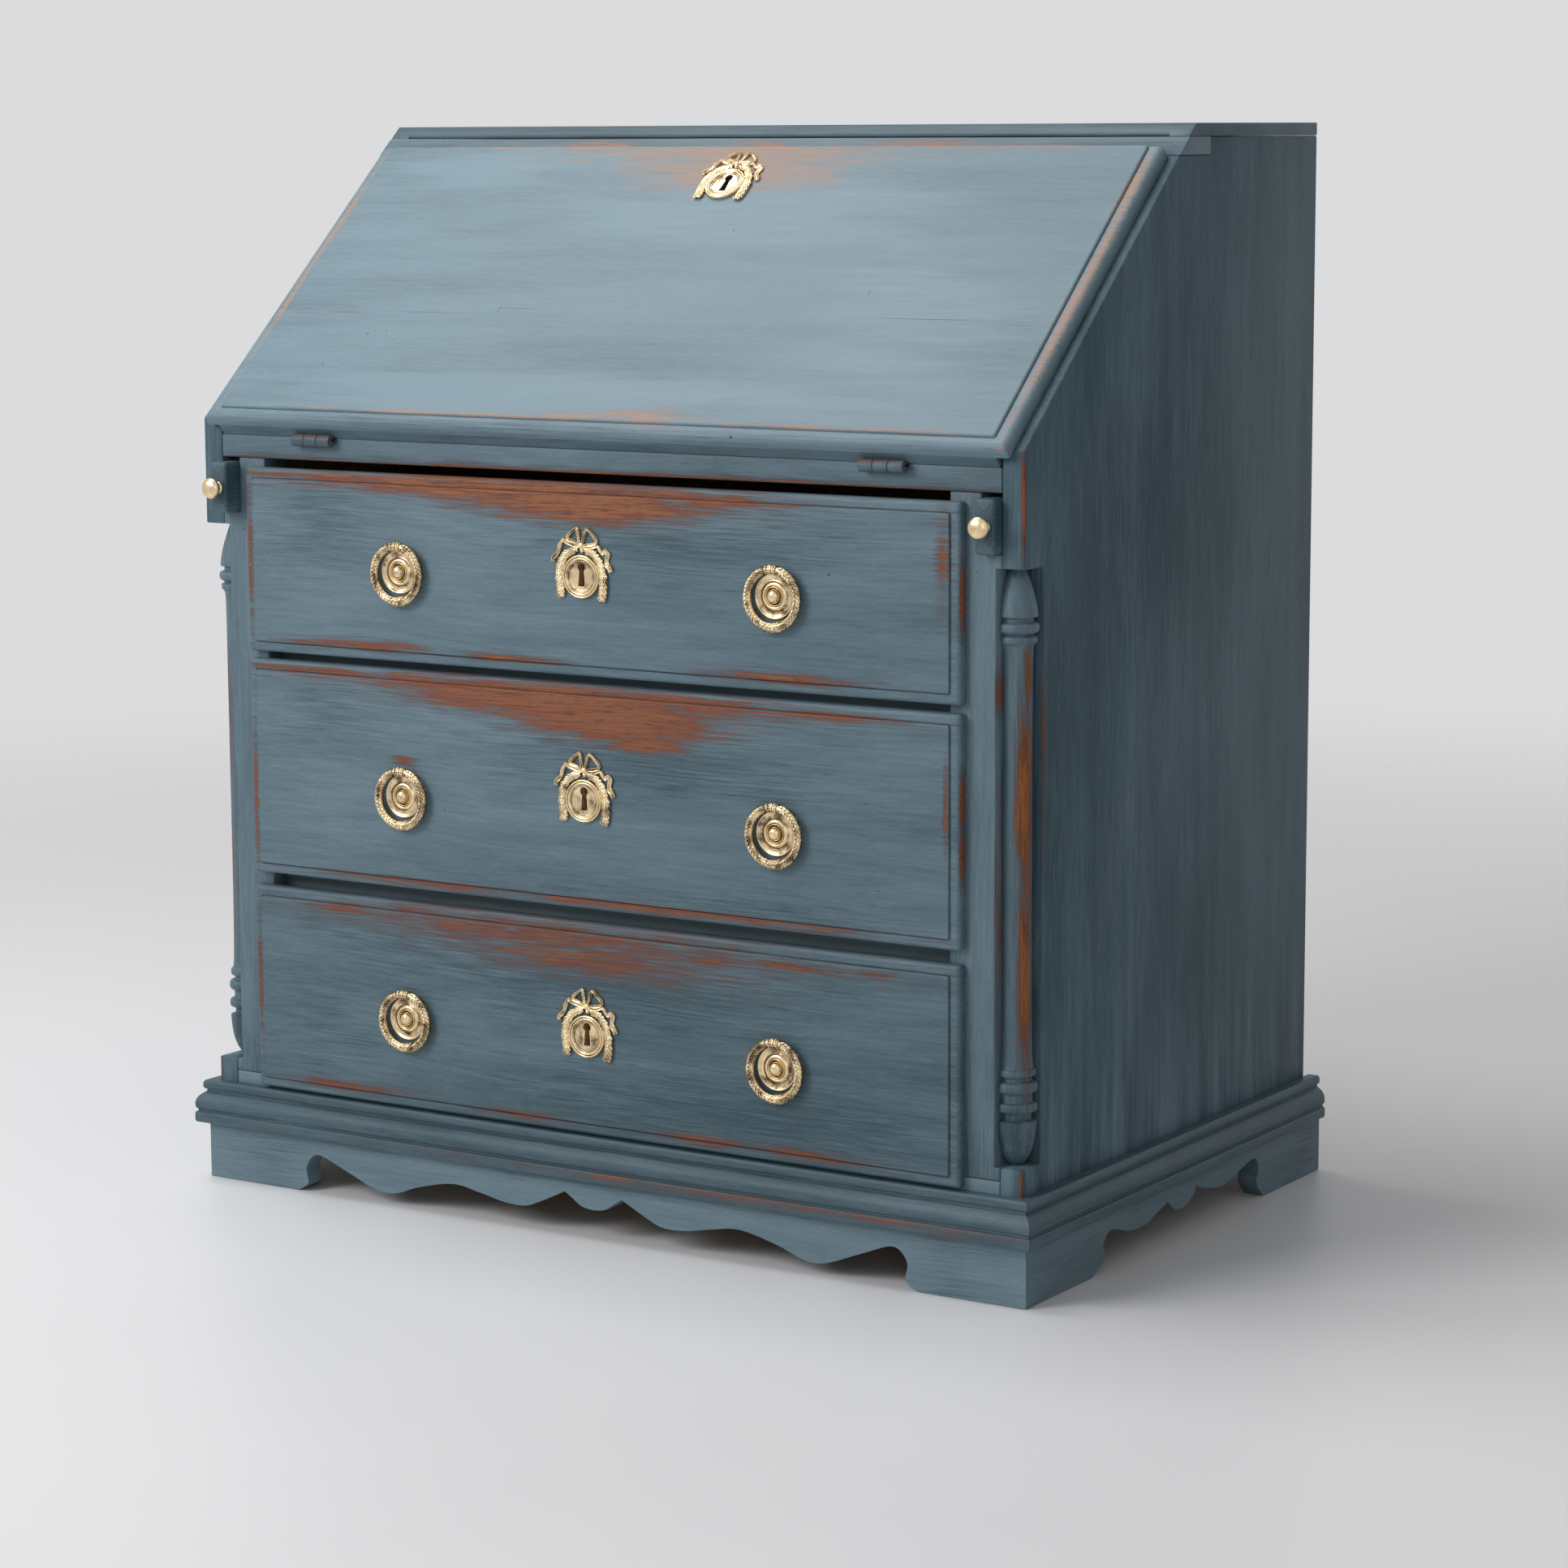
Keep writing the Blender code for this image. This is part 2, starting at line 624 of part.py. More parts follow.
def mouldings():
    """Mitred at the front corners; each end is cut square at the back."""
    foot = BASE_HEIGHT + GAP
    section = [
        (GAP + (MOULDING_OUT - GAP) * out, foot + MOULDING_HEIGHT * up) for out, up in MOULDING_SHARES]
    left = [(-CASE_HALF - out + GAP, FRONT - out, z) for out, z in section]
    right = [(CASE_HALF + out - GAP, FRONT - out, z) for out, z in section]
    slab("moulding_front", left, right)
    for side, sign in SIDES.items():
        ahead = [(sign * (CASE_HALF + out), FRONT - out + GAP, z) for out, z in section]
        behind = [(sign * (CASE_HALF + out), BASE_FRONT + MOULDING_DEPTH, z) for out, z in section]
        slab(f"moulding_{side}", ahead, behind)


def pigeonholes():
    """A shelf with uprights above and below it, notched together into one rack."""
    half = INNER_HALF - GAP
    foot = DESK_TOP + GAP
    shelf = foot + GALLERY_SHELF_UP
    over = shelf + GALLERY_BOARD
    thick = GALLERY_BOARD / 2
    outline = [(-half, shelf)]
    for x in (-half / 3, half / 3):
        outline += [(x - thick, shelf), (x - thick, foot), (x + thick, foot), (x + thick, shelf)]
    outline += [(half, shelf), (half, over)]
    for x in (half * 2 / 3, half / 3, 0, -half / 3, -half * 2 / 3):
        outline += [(x + thick, over), (x + thick, CASE_TOP), (x - thick, CASE_TOP), (x - thick, over)]
    outline.append((-half, over))
    prism(
        "pigeonholes", outline, BACK - BACK_BOARD - GALLERY_DEEP, BACK - BACK_BOARD - GAP, "Y", BARE)


# Lopers: the bars that are drawn out to carry the open fall, each with a brass knob
KNOB_SHARES = (
    (0, 0), (0.62, 0), (0.58, 0.12), (0.45, 0.40), (0.85, 0.55), (1.0, 0.72), (0.82, 0.90), (0.35, 1.0),
    (0, 1.0),
)


def scaled(shares, reach, height):
    """An outline from its shares of two real sizes."""
    return [(reach * out, height * up) for out, up in shares]


def lopers():
    middle = (PARTITION_OUT + INNER_HALF) / 2
    knob = turned_mesh("loper_knob", scaled(KNOB_SHARES, KNOB, -KNOB_LONG), 16, "Y")
    for side, sign in SIDES.items():
        slide = pivot(f"loper_{side}_slide", (sign * middle, FRONT - LOPER_OUT[side], LOPER_Z))
        block(
            f"loper_{side}", (-LOPER_WIDE / 2, 0, 0), (LOPER_WIDE / 2, LOPER_LONG, LOPER_HIGH), BLUE, slide)
        show(f"loper_knob_{side}", knob, BRASS, slide, (0, -GAP, LOPER_HIGH / 2))


# Brass escutcheon: a dished plate with a keyhole between two hanging sprays, under a bow
# Each strip is a run of (x, z, half width), shares of the plate's radius
SPRAY_SHARES = (
    (0.16, 1.12, 0.12), (0.60, 1.03, 0.13), (0.90, 0.80, 0.14), (1.09, 0.46, 0.16),
    (1.19, 0.07, 0.18), (1.21, -0.36, 0.20), (1.16, -0.75, 0.21), (1.12, -1.12, 0.15),
)
TAIL_SHARES = (
    (0.05, 1.28, 0.12), (0.55, 1.30, 0.09), (0.90, 1.38, 0.08), (1.10, 1.22, 0.10),
    (1.20, 1.04, 0.12), (1.38, 0.94, 0.15), (1.38, 0.68, 0.14), (1.53, 0.36, 0.11),
)
LOOP_RISE_SHARES = ((0.05, 1.28, 0.08), (0.15, 1.62, 0.07), (0.27, 2.08, 0.08))
LOOP_FALL_SHARES = (
    (0.25, 2.04, 0.08), (0.52, 1.90, 0.08), (0.74, 1.73, 0.09), (0.84, 1.54, 0.09),
    (0.60, 1.43, 0.09), (0.10, 1.30, 0.10),
)


def strip_outline(shares, sign):
    """The outline of a ribbon that follows a run of points."""
    middle = [(sign * PLATE * x, PLATE * z) for x, z, _ in shares]
    left = []
    right = []
    for i, (x, z) in enumerate(middle):
        before = middle[max(i - 1, 0)]
        after = middle[min(i + 1, len(middle) - 1)]
        length = math.dist(before, after)
        across = (-(after[1] - before[1]) / length, (after[0] - before[0]) / length)
        half = PLATE * shares[i][2]
        left.append((x + across[0] * half, z + across[1] * half))
        right.append((x - across[0] * half, z - across[1] * half))
    return left + right[::-1]


def keyhole(name, start, end, axis, parent=None, at=(0, 0, 0)):
    """A round head over a flared slot, drawn out along an axis."""
    head = KEY_HIGH / 2 - KEY_HEAD
    outline = []
    for step in range(9):
        angle = math.radians(-50 + 280 * step / 8)
        outline.append((KEY_HEAD * math.cos(angle), head + KEY_HEAD * math.sin(angle)))
    outline += [(-KEY_NECK, head - KEY_HEAD), (-KEY_FOOT, -KEY_HIGH / 2), (KEY_FOOT, -KEY_HIGH / 2)]
    outline.append((KEY_NECK, head - KEY_HEAD))
    return prism(name, outline, start, end, axis, BRASS, parent, at)


# The plate's section: a double rim round a dish
PLATE_SHARES = (
    (0, 0), (1.0, 0), (1.0, 0.60), (0.94, 1.0), (0.87, 0.75), (0.82, 1.0), (0.72, 0.58), (0.38, 0.32),
    (0, 0.26),
)


def escutcheon_mesh():
    """Its back lies at y = 0 and its front faces -Y."""
    profile = scaled(PLATE_SHARES, PLATE, -PLATE_RIM)
    plate = show("escutcheon_shape", turned_mesh("escutcheon_shape", profile, 24, "Y"), BRASS)
    strips = []
    lift = 0
    for side, sign in SIDES.items():
        for name, shares, thick in (
            ("spray", SPRAY_SHARES, CREST), ("tail", TAIL_SHARES, BOW - RUN),
            ("loop_rise", LOOP_RISE_SHARES, BOW), ("loop_fall", LOOP_FALL_SHARES, BOW),
        ):
            # Each strip stands a hair further out than the last, as the ribbons cross
            lift += STRIP_LIFT
            outline = strip_outline(shares, sign)
            strips.append(prism(f"{name}_{side}", outline, -thick + lift, -lift, "Y", BRASS))
    # The knot that all the ribbons leave
    knot = rod(
        "bow_knot", KNOT, -CREST - STRIP_LIFT, -lift - STRIP_LIFT, "Y", 10, BRASS, None, (0, 0, KNOT_UP))
    strips.append(knot)
    join(plate, *strips)
    cut(plate, keyhole("escutcheon_keyhole", -CREST - OVERRUN, OVERRUN, "Y"))
    return finished(plate)


# Brass ring pull: a dished rosette whose eye, at the top, holds the ring
ROSETTE_SHARES = (
    (0, 0), (1.0, 0), (1.0, 0.24), (0.95, 0.34), (0.76, 0.18), (0.56, 0.20), (0.50, 0.42), (0.33, 0.36),
    (0.255, 0.74), (0.13, 1.0), (0, 1.0),
)


def rosette_mesh():
    """Its back lies at y = 0 and its front faces -Y."""
    profile = scaled(ROSETTE_SHARES, ROSETTE, -ROSETTE_HIGH)
    rosette = show("rosette_shape", turned_mesh("rosette_shape", profile, 20, "Y"), BRASS)
    eye_up = RING - RING_DROP
    tab = block(
        "rosette_tab", (-EYE_WIDE / 2 + RUN / 2, -EYE_TAB, ROSETTE * 0.9),
        (EYE_WIDE / 2 - RUN / 2, 0, eye_up + EYE_TAB), BRASS)
    half = EYE_WIDE / 2
    eye = rod("rosette_eye", EYE, -half, half, "X", 12, BRASS, None, (0, -RING_OUT, eye_up))
    bore = rod(
        "rosette_bore", RING_NECK + RUN / 2, -half - OVERRUN, half + OVERRUN, "X", 12, BRASS, None,
        (0, -RING_OUT, eye_up))
    join(rosette, tab, eye)
    cut(rosette, bore)
    return finished(rosette)


def ring_mesh():
    """Hangs from the origin, in the plane y = 0; thinner at the top, where the eye holds it."""
    around = 24
    steps = 8
    bends = [2 * math.pi * step / steps for step in range(steps)]
    # The thin neck is straight, so that it turns in its eye
    neck = EYE_WIDE / 2 + RUN / 2
    points = [
        (side * neck, RING_NECK * math.sin(bend), RING_NECK * math.cos(bend))
        for side in SIDES.values() for bend in bends]
    for turn in range(1, around):
        angle = 2 * math.pi * turn / around
        for bend in bends:
            out = RING + RING_TUBE * math.cos(bend)
            points.append((out * math.sin(angle), RING_TUBE * math.sin(bend), out * math.cos(angle) - RING))
    loops = around + 1
    faces = []
    for turn in range(loops):
        after = (turn + 1) % loops
        for step in range(steps):
            beyond = (step + 1) % steps
            faces.append([
                turn * steps + step, after * steps + step,
                after * steps + beyond, turn * steps + beyond])
    mesh = closed_mesh("pull_ring", points, faces)
    mesh.shade_smooth()
    return mesh


# Drawers: a lipped front, an open box behind it, a lock, an escutcheon and two ring pulls
def drawer_front(name, sizes, slide):
    """The thick board fits the opening, its lip overlaps the frame, and a raised field is on the lip."""
    high = sizes["head"] - sizes["foot"]
    body_foot = sizes["floor"] + RUN - sizes["foot"]
    lip = [(0, 0), (-LIP + LIP_OVOLO, 0), (-LIP + LIP_OVOLO * 0.3, LIP_OVOLO * 0.3), (-LIP, LIP_OVOLO)]
    lip += [(y, high - z) for y, z in reversed(lip)]
    front = prism(f"drawer_{name}_front", lip, -LIP_HALF, LIP_HALF, "X", BLUE, slide)
    body = block(
        f"drawer_{name}_body", (-OPENING_HALF + RUN, -LIP / 2, body_foot),
        (OPENING_HALF - RUN, BODY_DEEP, sizes["body_head"] - sizes["foot"]), BARE, slide)
    inset = FIELD / 2
    field = prism(
        f"drawer_{name}_field",
        [(-LIP / 2, BORDER), (-LIP, BORDER), (-LIP - inset, BORDER + inset * 0.3),
         (-LIP - FIELD, BORDER + FIELD), (-LIP - FIELD, high - BORDER - FIELD),
         (-LIP - inset, high - BORDER - inset * 0.3), (-LIP, high - BORDER), (-LIP / 2, high - BORDER)],
        -FIELD_HALF, FIELD_HALF, "X", BLUE, slide)
    join(front, body, field)
    centre = (0, 0, high * KEY_SHARES[name])
    cut(front, keyhole(f"drawer_{name}_keyhole", -LIP - OVERRUN, BODY_DEEP + OVERRUN, "Y", slide, centre))


def drawer_box(name, sizes, slide):
    """Sides, back and bottom, open towards the front board and above."""
    floor = sizes["floor"] + GAP - sizes["foot"]
    head = sizes["body_head"] - BOX_DOWN - sizes["foot"]
    near = BODY_DEEP + GAP
    half = OPENING_HALF - RUN
    box = block(f"drawer_{name}_box", (-half, near, floor), (half, near + BOX_LONG, head), BARE, slide)
    inside = half - BOX_SIDE
    hollow = block(
        f"drawer_{name}_hollow", (-inside, near - OVERRUN, floor + BOX_FLOOR),
        (inside, near + BOX_LONG - BOX_SIDE, head + OVERRUN), BARE, slide)
    cut(box, hollow)


def drawer_lock(name, sizes, slide):
    """An iron lock on the back of the front board, its bolt flush with its top edge at rest."""
    near = BODY_DEEP + GAP
    head = sizes["body_head"] - sizes["foot"]
    lock = block(
        f"drawer_{name}_lock", (-LOCK_HALF, near, head - LOCK_HIGH), (LOCK_HALF, near + LOCK_THICK, head),
        IRON, slide)
    channel = block(
        f"drawer_{name}_channel",
        (-BOLT_HALF - GAP, near + BOLT_WALL - GAP, head - BOLT_LONG - GAP),
        (BOLT_HALF + GAP, near + BOLT_WALL + BOLT_THICK + GAP, head + OVERRUN), IRON, slide)
    cut(lock, channel)
    block(
        f"drawer_{name}_bolt",
        (-BOLT_HALF, near + BOLT_WALL, head - BOLT_LONG), (BOLT_HALF, near + BOLT_WALL + BOLT_THICK, head),
        IRON, slide)


def drawers():
    rosette = rosette_mesh()
    ring = ring_mesh()
    escutcheon = escutcheon_mesh()
    face = -LIP - FIELD - GAP
    for name, sizes in DRAWERS.items():
        slide = pivot(f"drawer_{name}_slide", (0, FRONT - GAP, sizes["foot"]))
        drawer_front(name, sizes, slide)
        drawer_box(name, sizes, slide)
        drawer_lock(name, sizes, slide)
        high = sizes["head"] - sizes["foot"]
        show(f"drawer_{name}_escutcheon", escutcheon, BRASS, slide, (0, face, high * KEY_SHARES[name]))
        for side, sign in SIDES.items():
            centre = high * RING_SHARES[name]
            show(f"rosette_{name}_{side}", rosette, BRASS, slide, (sign * PULL_X, face, centre))
            hang = (sign * PULL_X, face - RING_OUT, centre + RING - RING_DROP)
            show(f"ring_{name}_{side}", ring, BRASS, slide, hang)
    return escutcheon


# The fall front is drawn flat on its hinge line, then turned to the slope:
# along runs up the slope from the hinge's pin, and out is square to it
FALL_OUT = (SLOPE_FOOT - HINGE_Z) * math.cos(SLOPE) - HINGE_OUT * math.sin(SLOPE)
RAIL_ALONG = (slope_y(RAIL_FOOT) - HINGE_Y) * math.cos(SLOPE) + (RAIL_FOOT - HINGE_Z) * math.sin(SLOPE)
FALL_LONG = RAIL_ALONG - FALL_HEAD_CLEAR
FALL_KEY = FALL_LONG - FALL_KEY_DOWN
FALL_BACK = -HINGE_DOWN
FALL_FOOT = HINGE_OUT + SLOPE_CLEAR
FALL_LIP_BACK = FALL_OUT + GAP
FALL_LIP_FRONT = FALL_OUT + FALL_LIP
FALL_BOLT_LOW = FALL_BACK + (FALL_LOCK_THICK - BOLT_THICK) / 2


def fall_front(fall, leaf_recesses):
    """One board: a tongue between the side boards, a lip that laps over them and a raised field."""
    ovolo = FALL_OVOLO
    edge = [
        (FALL_FOOT, FALL_LIP_BACK - OVERRUN), (FALL_FOOT, FALL_LIP_FRONT - ovolo),
        (FALL_FOOT + ovolo * 0.10, FALL_LIP_FRONT - ovolo * 0.55),
        (FALL_FOOT + ovolo * 0.45, FALL_LIP_FRONT - ovolo * 0.15),
        (FALL_FOOT + ovolo, FALL_LIP_FRONT), (FALL_LONG, FALL_LIP_FRONT),
        (FALL_LONG, FALL_LIP_BACK - OVERRUN),
    ]
    edge = [(along, max(out, FALL_LIP_BACK)) for along, out in edge]
    board = prism("fall_front", edge, -FALL_LIP_HALF, FALL_LIP_HALF, "X", BLUE, fall)
    tongue = block(
        "fall_tongue", (-FALL_HALF, FALL_FOOT, FALL_BACK), (FALL_HALF, FALL_LONG, FALL_LIP_BACK + OVERRUN),
        BARE, fall)
    field = block(
        "fall_field", (-FALL_FIELD_HALF, FALL_FIELD_FOOT, FALL_LIP_BACK + OVERRUN),
        (FALL_FIELD_HALF, FALL_LONG, FALL_LIP_FRONT + FIELD), BLUE, fall)
    join(board, tongue, field)
    pocket = block(
        "fall_lock_pocket",
        (-LOCK_HALF - GAP, FALL_LONG - FALL_LOCK_LONG - GAP, FALL_BACK - OVERRUN),
        (LOCK_HALF + GAP, FALL_LONG + OVERRUN, FALL_BACK + FALL_LOCK_THICK + GAP), IRON, fall)
    hole = keyhole("fall_keyhole", 0, FALL_LIP_FRONT + OVERRUN, "Z", fall, (0, FALL_KEY, 0))
    cut(board, pocket, hole, *leaf_recesses)


def fall_lock(fall):
    lock = block(
        "fall_lock", (-LOCK_HALF, FALL_LONG - FALL_LOCK_LONG, FALL_BACK),
        (LOCK_HALF, FALL_LONG, FALL_BACK + FALL_LOCK_THICK), IRON, fall)
    channel = block(
        "fall_channel",
        (-BOLT_HALF - GAP, FALL_LONG - BOLT_LONG - GAP, FALL_BOLT_LOW - GAP),
        (BOLT_HALF + GAP, FALL_LONG + OVERRUN, FALL_BOLT_LOW + BOLT_THICK + GAP), IRON, fall)
    cut(lock, channel)
    block(
        "fall_bolt", (-BOLT_HALF, FALL_LONG - BOLT_LONG, FALL_BOLT_LOW),
        (BOLT_HALF, FALL_LONG, FALL_BOLT_LOW + BOLT_THICK), IRON, fall)


def hinge_leaf(name, side, sign, parent, outward, knuckles, pinned):
    """A leaf that lies along +Y of its parent, with the knuckles it carries on the hinge line."""
    middle = sign * HINGE_MIDDLE
    low, high = sorted((0, outward * LEAF))
    # The two leaves face each other in the wedge under the slope and start where it is wide enough
    near = LEAF / math.tan(SLOPE / 2) + LEAF_CLEAR
    plate = block(
        f"hinge_{name}_leaf_{side}", (middle - HINGE_WIDE / 2, near, low),
        (middle + HINGE_WIDE / 2, HINGE_OUT + LEAF_LONG, high), BLUE, parent)
    third = HINGE_WIDE / 3
    parts = []
    for knuckle in knuckles:
        start = middle - HINGE_WIDE / 2 + knuckle * third + GAP / 2
        end = start + third - GAP
        parts.append(rod(f"knuckle_{name}_{side}_{knuckle}", BARREL, start, end, "X", 14, BLUE, parent))
        parts.append(block(
            f"neck_{name}_{side}_{knuckle}", (start, 0, low), (end, near + RUN / 2, high), BLUE, parent))
    inset = HINGE_WIDE / 2 - RUN
    if pinned:
        parts.append(rod(
            f"hinge_pin_{side}", HINGE_PIN, middle - inset, middle + inset, "X", 10, BLUE, parent))
    join(plate, *parts)
    if not pinned:
        cut(plate, rod(
            f"hinge_bore_{side}", HINGE_PIN + GAP, middle - inset, middle + inset, "X", 10, BLUE, parent))


def leaf_recess(name, side, sign, parent, outward):
    """The shallow bed that a leaf is let into."""
    middle = sign * HINGE_MIDDLE
    low, high = sorted((-outward * GAP, outward * (LEAF + OVERRUN)))
    return block(
        f"recess_{name}_{side}", (middle - HINGE_WIDE / 2 - GAP, -HINGE_OUT, low),
        (middle + HINGE_WIDE / 2 + GAP, HINGE_OUT + LEAF_LONG + GAP, high), IRON, parent)


def build():
    fall = pivot("fall_hinge_line", (0, HINGE_Y, HINGE_Z), (SLOPE, 0, 0))
    desk = pivot("desk_hinge_line", (0, HINGE_Y, HINGE_Z))
    side_panels()
    top_board()
    slope_rail(fall)
    desk_board([leaf_recess("desk", side, sign, desk, 1) for side, sign in SIDES.items()])
    dust_frames()
    bottom_board()
    back_panel()
    corner_posts()
    columns()
    aprons()
    mouldings()
    pigeonholes()
    lopers()
    escutcheon = drawers()
    fall_front(fall, [leaf_recess("fall", side, sign, fall, -1) for side, sign in SIDES.items()])
    fall_lock(fall)
    plate = show("fall_escutcheon", escutcheon, BRASS, fall, (0, FALL_KEY, FALL_LIP_FRONT + FIELD + GAP))
    plate.rotation_euler = (math.radians(-90), 0, 0)
    for side, sign in SIDES.items():
        hinge_leaf("desk", side, sign, desk, 1, (0, 2), True)
        hinge_leaf("fall", side, sign, fall, -1, (1,), False)


build()
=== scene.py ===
import math

import bmesh
import bpy
from mathutils import Matrix, Vector


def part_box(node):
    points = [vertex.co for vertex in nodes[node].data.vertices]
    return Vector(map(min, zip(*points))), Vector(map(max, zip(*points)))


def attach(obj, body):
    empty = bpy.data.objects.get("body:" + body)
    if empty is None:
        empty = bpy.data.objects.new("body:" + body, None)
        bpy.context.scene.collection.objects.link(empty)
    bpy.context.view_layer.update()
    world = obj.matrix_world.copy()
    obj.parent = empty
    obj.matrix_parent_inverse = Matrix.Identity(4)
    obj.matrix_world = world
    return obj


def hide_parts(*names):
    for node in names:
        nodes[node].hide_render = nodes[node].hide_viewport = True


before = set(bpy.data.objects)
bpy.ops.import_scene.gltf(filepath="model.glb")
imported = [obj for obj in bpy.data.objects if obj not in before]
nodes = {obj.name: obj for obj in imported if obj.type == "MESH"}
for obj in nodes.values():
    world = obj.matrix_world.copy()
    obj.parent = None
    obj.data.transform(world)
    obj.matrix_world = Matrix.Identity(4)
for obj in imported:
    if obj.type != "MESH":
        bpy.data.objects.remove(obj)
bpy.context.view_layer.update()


# Side boards: two wide pine boards on edge, each cut to the slope of the fall and notched in front for its
# column. They are painted in two brushed coats, up and down the grain, and rubbed bare where hands pass.
PAINT_DEEP = (0.032, 0.066, 0.086)
PAINT_PALE = (0.172, 0.254, 0.302)
THIN_PAINT = (0.090, 0.066, 0.068)
WOOD_DARK = (0.085, 0.030, 0.018)
WOOD_RED = (0.175, 0.056, 0.032)
WOOD_TAN = (0.262, 0.100, 0.043)
# A pale tint over bare wood: painted sheen where a face is turned up to the light
SHEEN_PALE_WOOD = (0.400, 0.285, 0.225)
# Bare wood on the columns: a richer orange, darkened a little as painted shade
COLUMN_WOODS_AND_SHADE = ((0.165, 0.055, 0.020), (0.300, 0.106, 0.027))
# Near black: dents, and painted shade inside keyholes
DENT_AND_SHADE_BLACK = (0.020, 0.018, 0.017)
PAINT_SHEEN = 0.32
SIDE_SHEEN = 0.12
SIDE_ARRIS = 0.0016
SIDE_WORN = (
    (0.698, 0.0, 0.052, 0.0034, 1.5, 0.0, 0.0030), (0.10, 0.0, 0.030, 0.0026, 0.8, 0.0, 0.0026),
    (0.48, 0.035, 0.08, 0.0019, 1.0, 0.0, 0.0019),
)
SIDES = {"left": -1, "right": 1}
# The noises in the paint: changes a metre along the grain and twice across it, detail, shift
MOTTLE = ((2.6, 13, 13), 5)
WOBBLE = ((3, 3, 3), 1, 7)
BRUSH = ((18, 300, 300), 4)
HAIR = ((90, 1300, 1300), 2, 3)
TOOTH = ((850, 850, 850), 1, 17)
SWEEP = ((5, 60, 60), 3, 29)
STREAK = ((17, 520, 520), 4, 11)
FIGURE = ((8, 330, 330), 3, 23)
BRUSH_WANDER = 0.014
PAINT_TONE = 0.48
PAINT_THICK = 0.00022


def plug(tree, socket, value):
    """Feeds a socket from another one, or sets it to a plain value."""
    if isinstance(value, bpy.types.NodeSocket):
        tree.links.new(value, socket)
    else:
        socket.default_value = value


def add(tree, kind, inputs=(), **settings):
    """A new node with its settings, fed by pairs of an input and what goes into it."""
    made = tree.nodes.new(kind)
    for name, value in settings.items():
        setattr(made, name, value)
    for name, value in dict(inputs).items():
        plug(tree, made.inputs[name], value)
    return made


def calc(tree, operation, *values):
    return add(tree, "ShaderNodeMath", enumerate(values), operation=operation).outputs[0]


def vector_calc(tree, operation, *values):
    made = add(tree, "ShaderNodeVectorMath", enumerate(values), operation=operation)
    return made.outputs["Value" if operation == "LENGTH" else "Vector"]


def scaled(tree, way, by):
    return add(tree, "ShaderNodeVectorMath", {0: way, "Scale": by}, operation="SCALE").outputs["Vector"]


def vector_of(tree, x=0.0, y=0.0, z=0.0):
    return add(tree, "ShaderNodeCombineXYZ", enumerate((x, y, z))).outputs["Vector"]


def ramp(tree, value, low, high, from_value=0.0, to_value=1.0):
    """A smooth step from one value to another as the input goes from low to high."""
    return add(tree, "ShaderNodeMapRange", {
        "Value": value, "From Min": low, "From Max": high, "To Min": from_value, "To Max": to_value,
    }, interpolation_type="SMOOTHSTEP").outputs["Result"]


def mixed(tree, share, *colours):
    """One colour going over into another."""
    first, second = (c if isinstance(c, bpy.types.NodeSocket) else (*c, 1) for c in colours)
    return add(tree, "ShaderNodeMix", {"Factor": share, 6: first, 7: second}, data_type="RGBA").outputs[2]


def cloud(tree, place, stretch, detail=3.0, shift=0.0):
    """Noise that changes so many times a metre along each axis, about 0.5."""
    where = vector_calc(tree, "MULTIPLY_ADD", place, stretch, (shift, shift, shift))
    return add(tree, "ShaderNodeTexNoise", {"Vector": where, "Scale": 1.0, "Detail": detail}).outputs[0]


def varied(tree, value, noise, strength):
    """A value that a noise raises and lowers, by up to half the strength."""
    return calc(tree, "ADD", value, calc(tree, "MULTIPLY_ADD", noise, strength, -strength / 2))


def laid(tree, centre, grain, across):
    """Places measured from a centre: X along the grain, Z across it and Y into the wood."""
    long, wide = Vector(grain), Vector(across)
    turn = Matrix((long, wide.cross(long), wide)).transposed().to_euler()
    where = add(tree, "ShaderNodeTexCoord").outputs["Object"]
    return add(tree, "ShaderNodeMapping", {
        "Vector": where, "Location": centre, "Rotation": turn}, vector_type="TEXTURE").outputs["Vector"]


def ovals(tree, place, marks):
    """Soft ovals, each (along, across, half length, half width, strength): above 0 inside, below outside.

    Two more values, how far into the wood and half how deep, keep a mark to one side of the piece.
    """
    field = None
    for along, across, long, wide, strength, *inward in marks:
        into, deep = inward or (0, math.inf)
        off = vector_calc(tree, "SUBTRACT", place, (along, into, across))
        off = vector_calc(tree, "MULTIPLY", off, (1 / long, 1 / deep, 1 / wide))
        rise = calc(tree, "MULTIPLY_ADD", vector_calc(tree, "LENGTH", off), -strength, strength)
        field = rise if field is None else calc(tree, "MAXIMUM", field, rise)
    return field


def new_finish(name):
    made = bpy.data.materials.new(name)
    made.use_nodes = True
    return made, made.node_tree, made.node_tree.nodes["Principled BSDF"]


def coat(tree, shader, colour, roughness, height, depth, strength):
    """Ends a finish with its colour, its roughness and bumps of so many metres."""
    plug(tree, shader.inputs["Base Color"], colour)
    plug(tree, shader.inputs["Roughness"], roughness)
    bump = add(tree, "ShaderNodeBump", {"Strength": strength, "Distance": depth, "Height": height})
    tree.links.new(bump.outputs["Normal"], shader.inputs["Normal"])


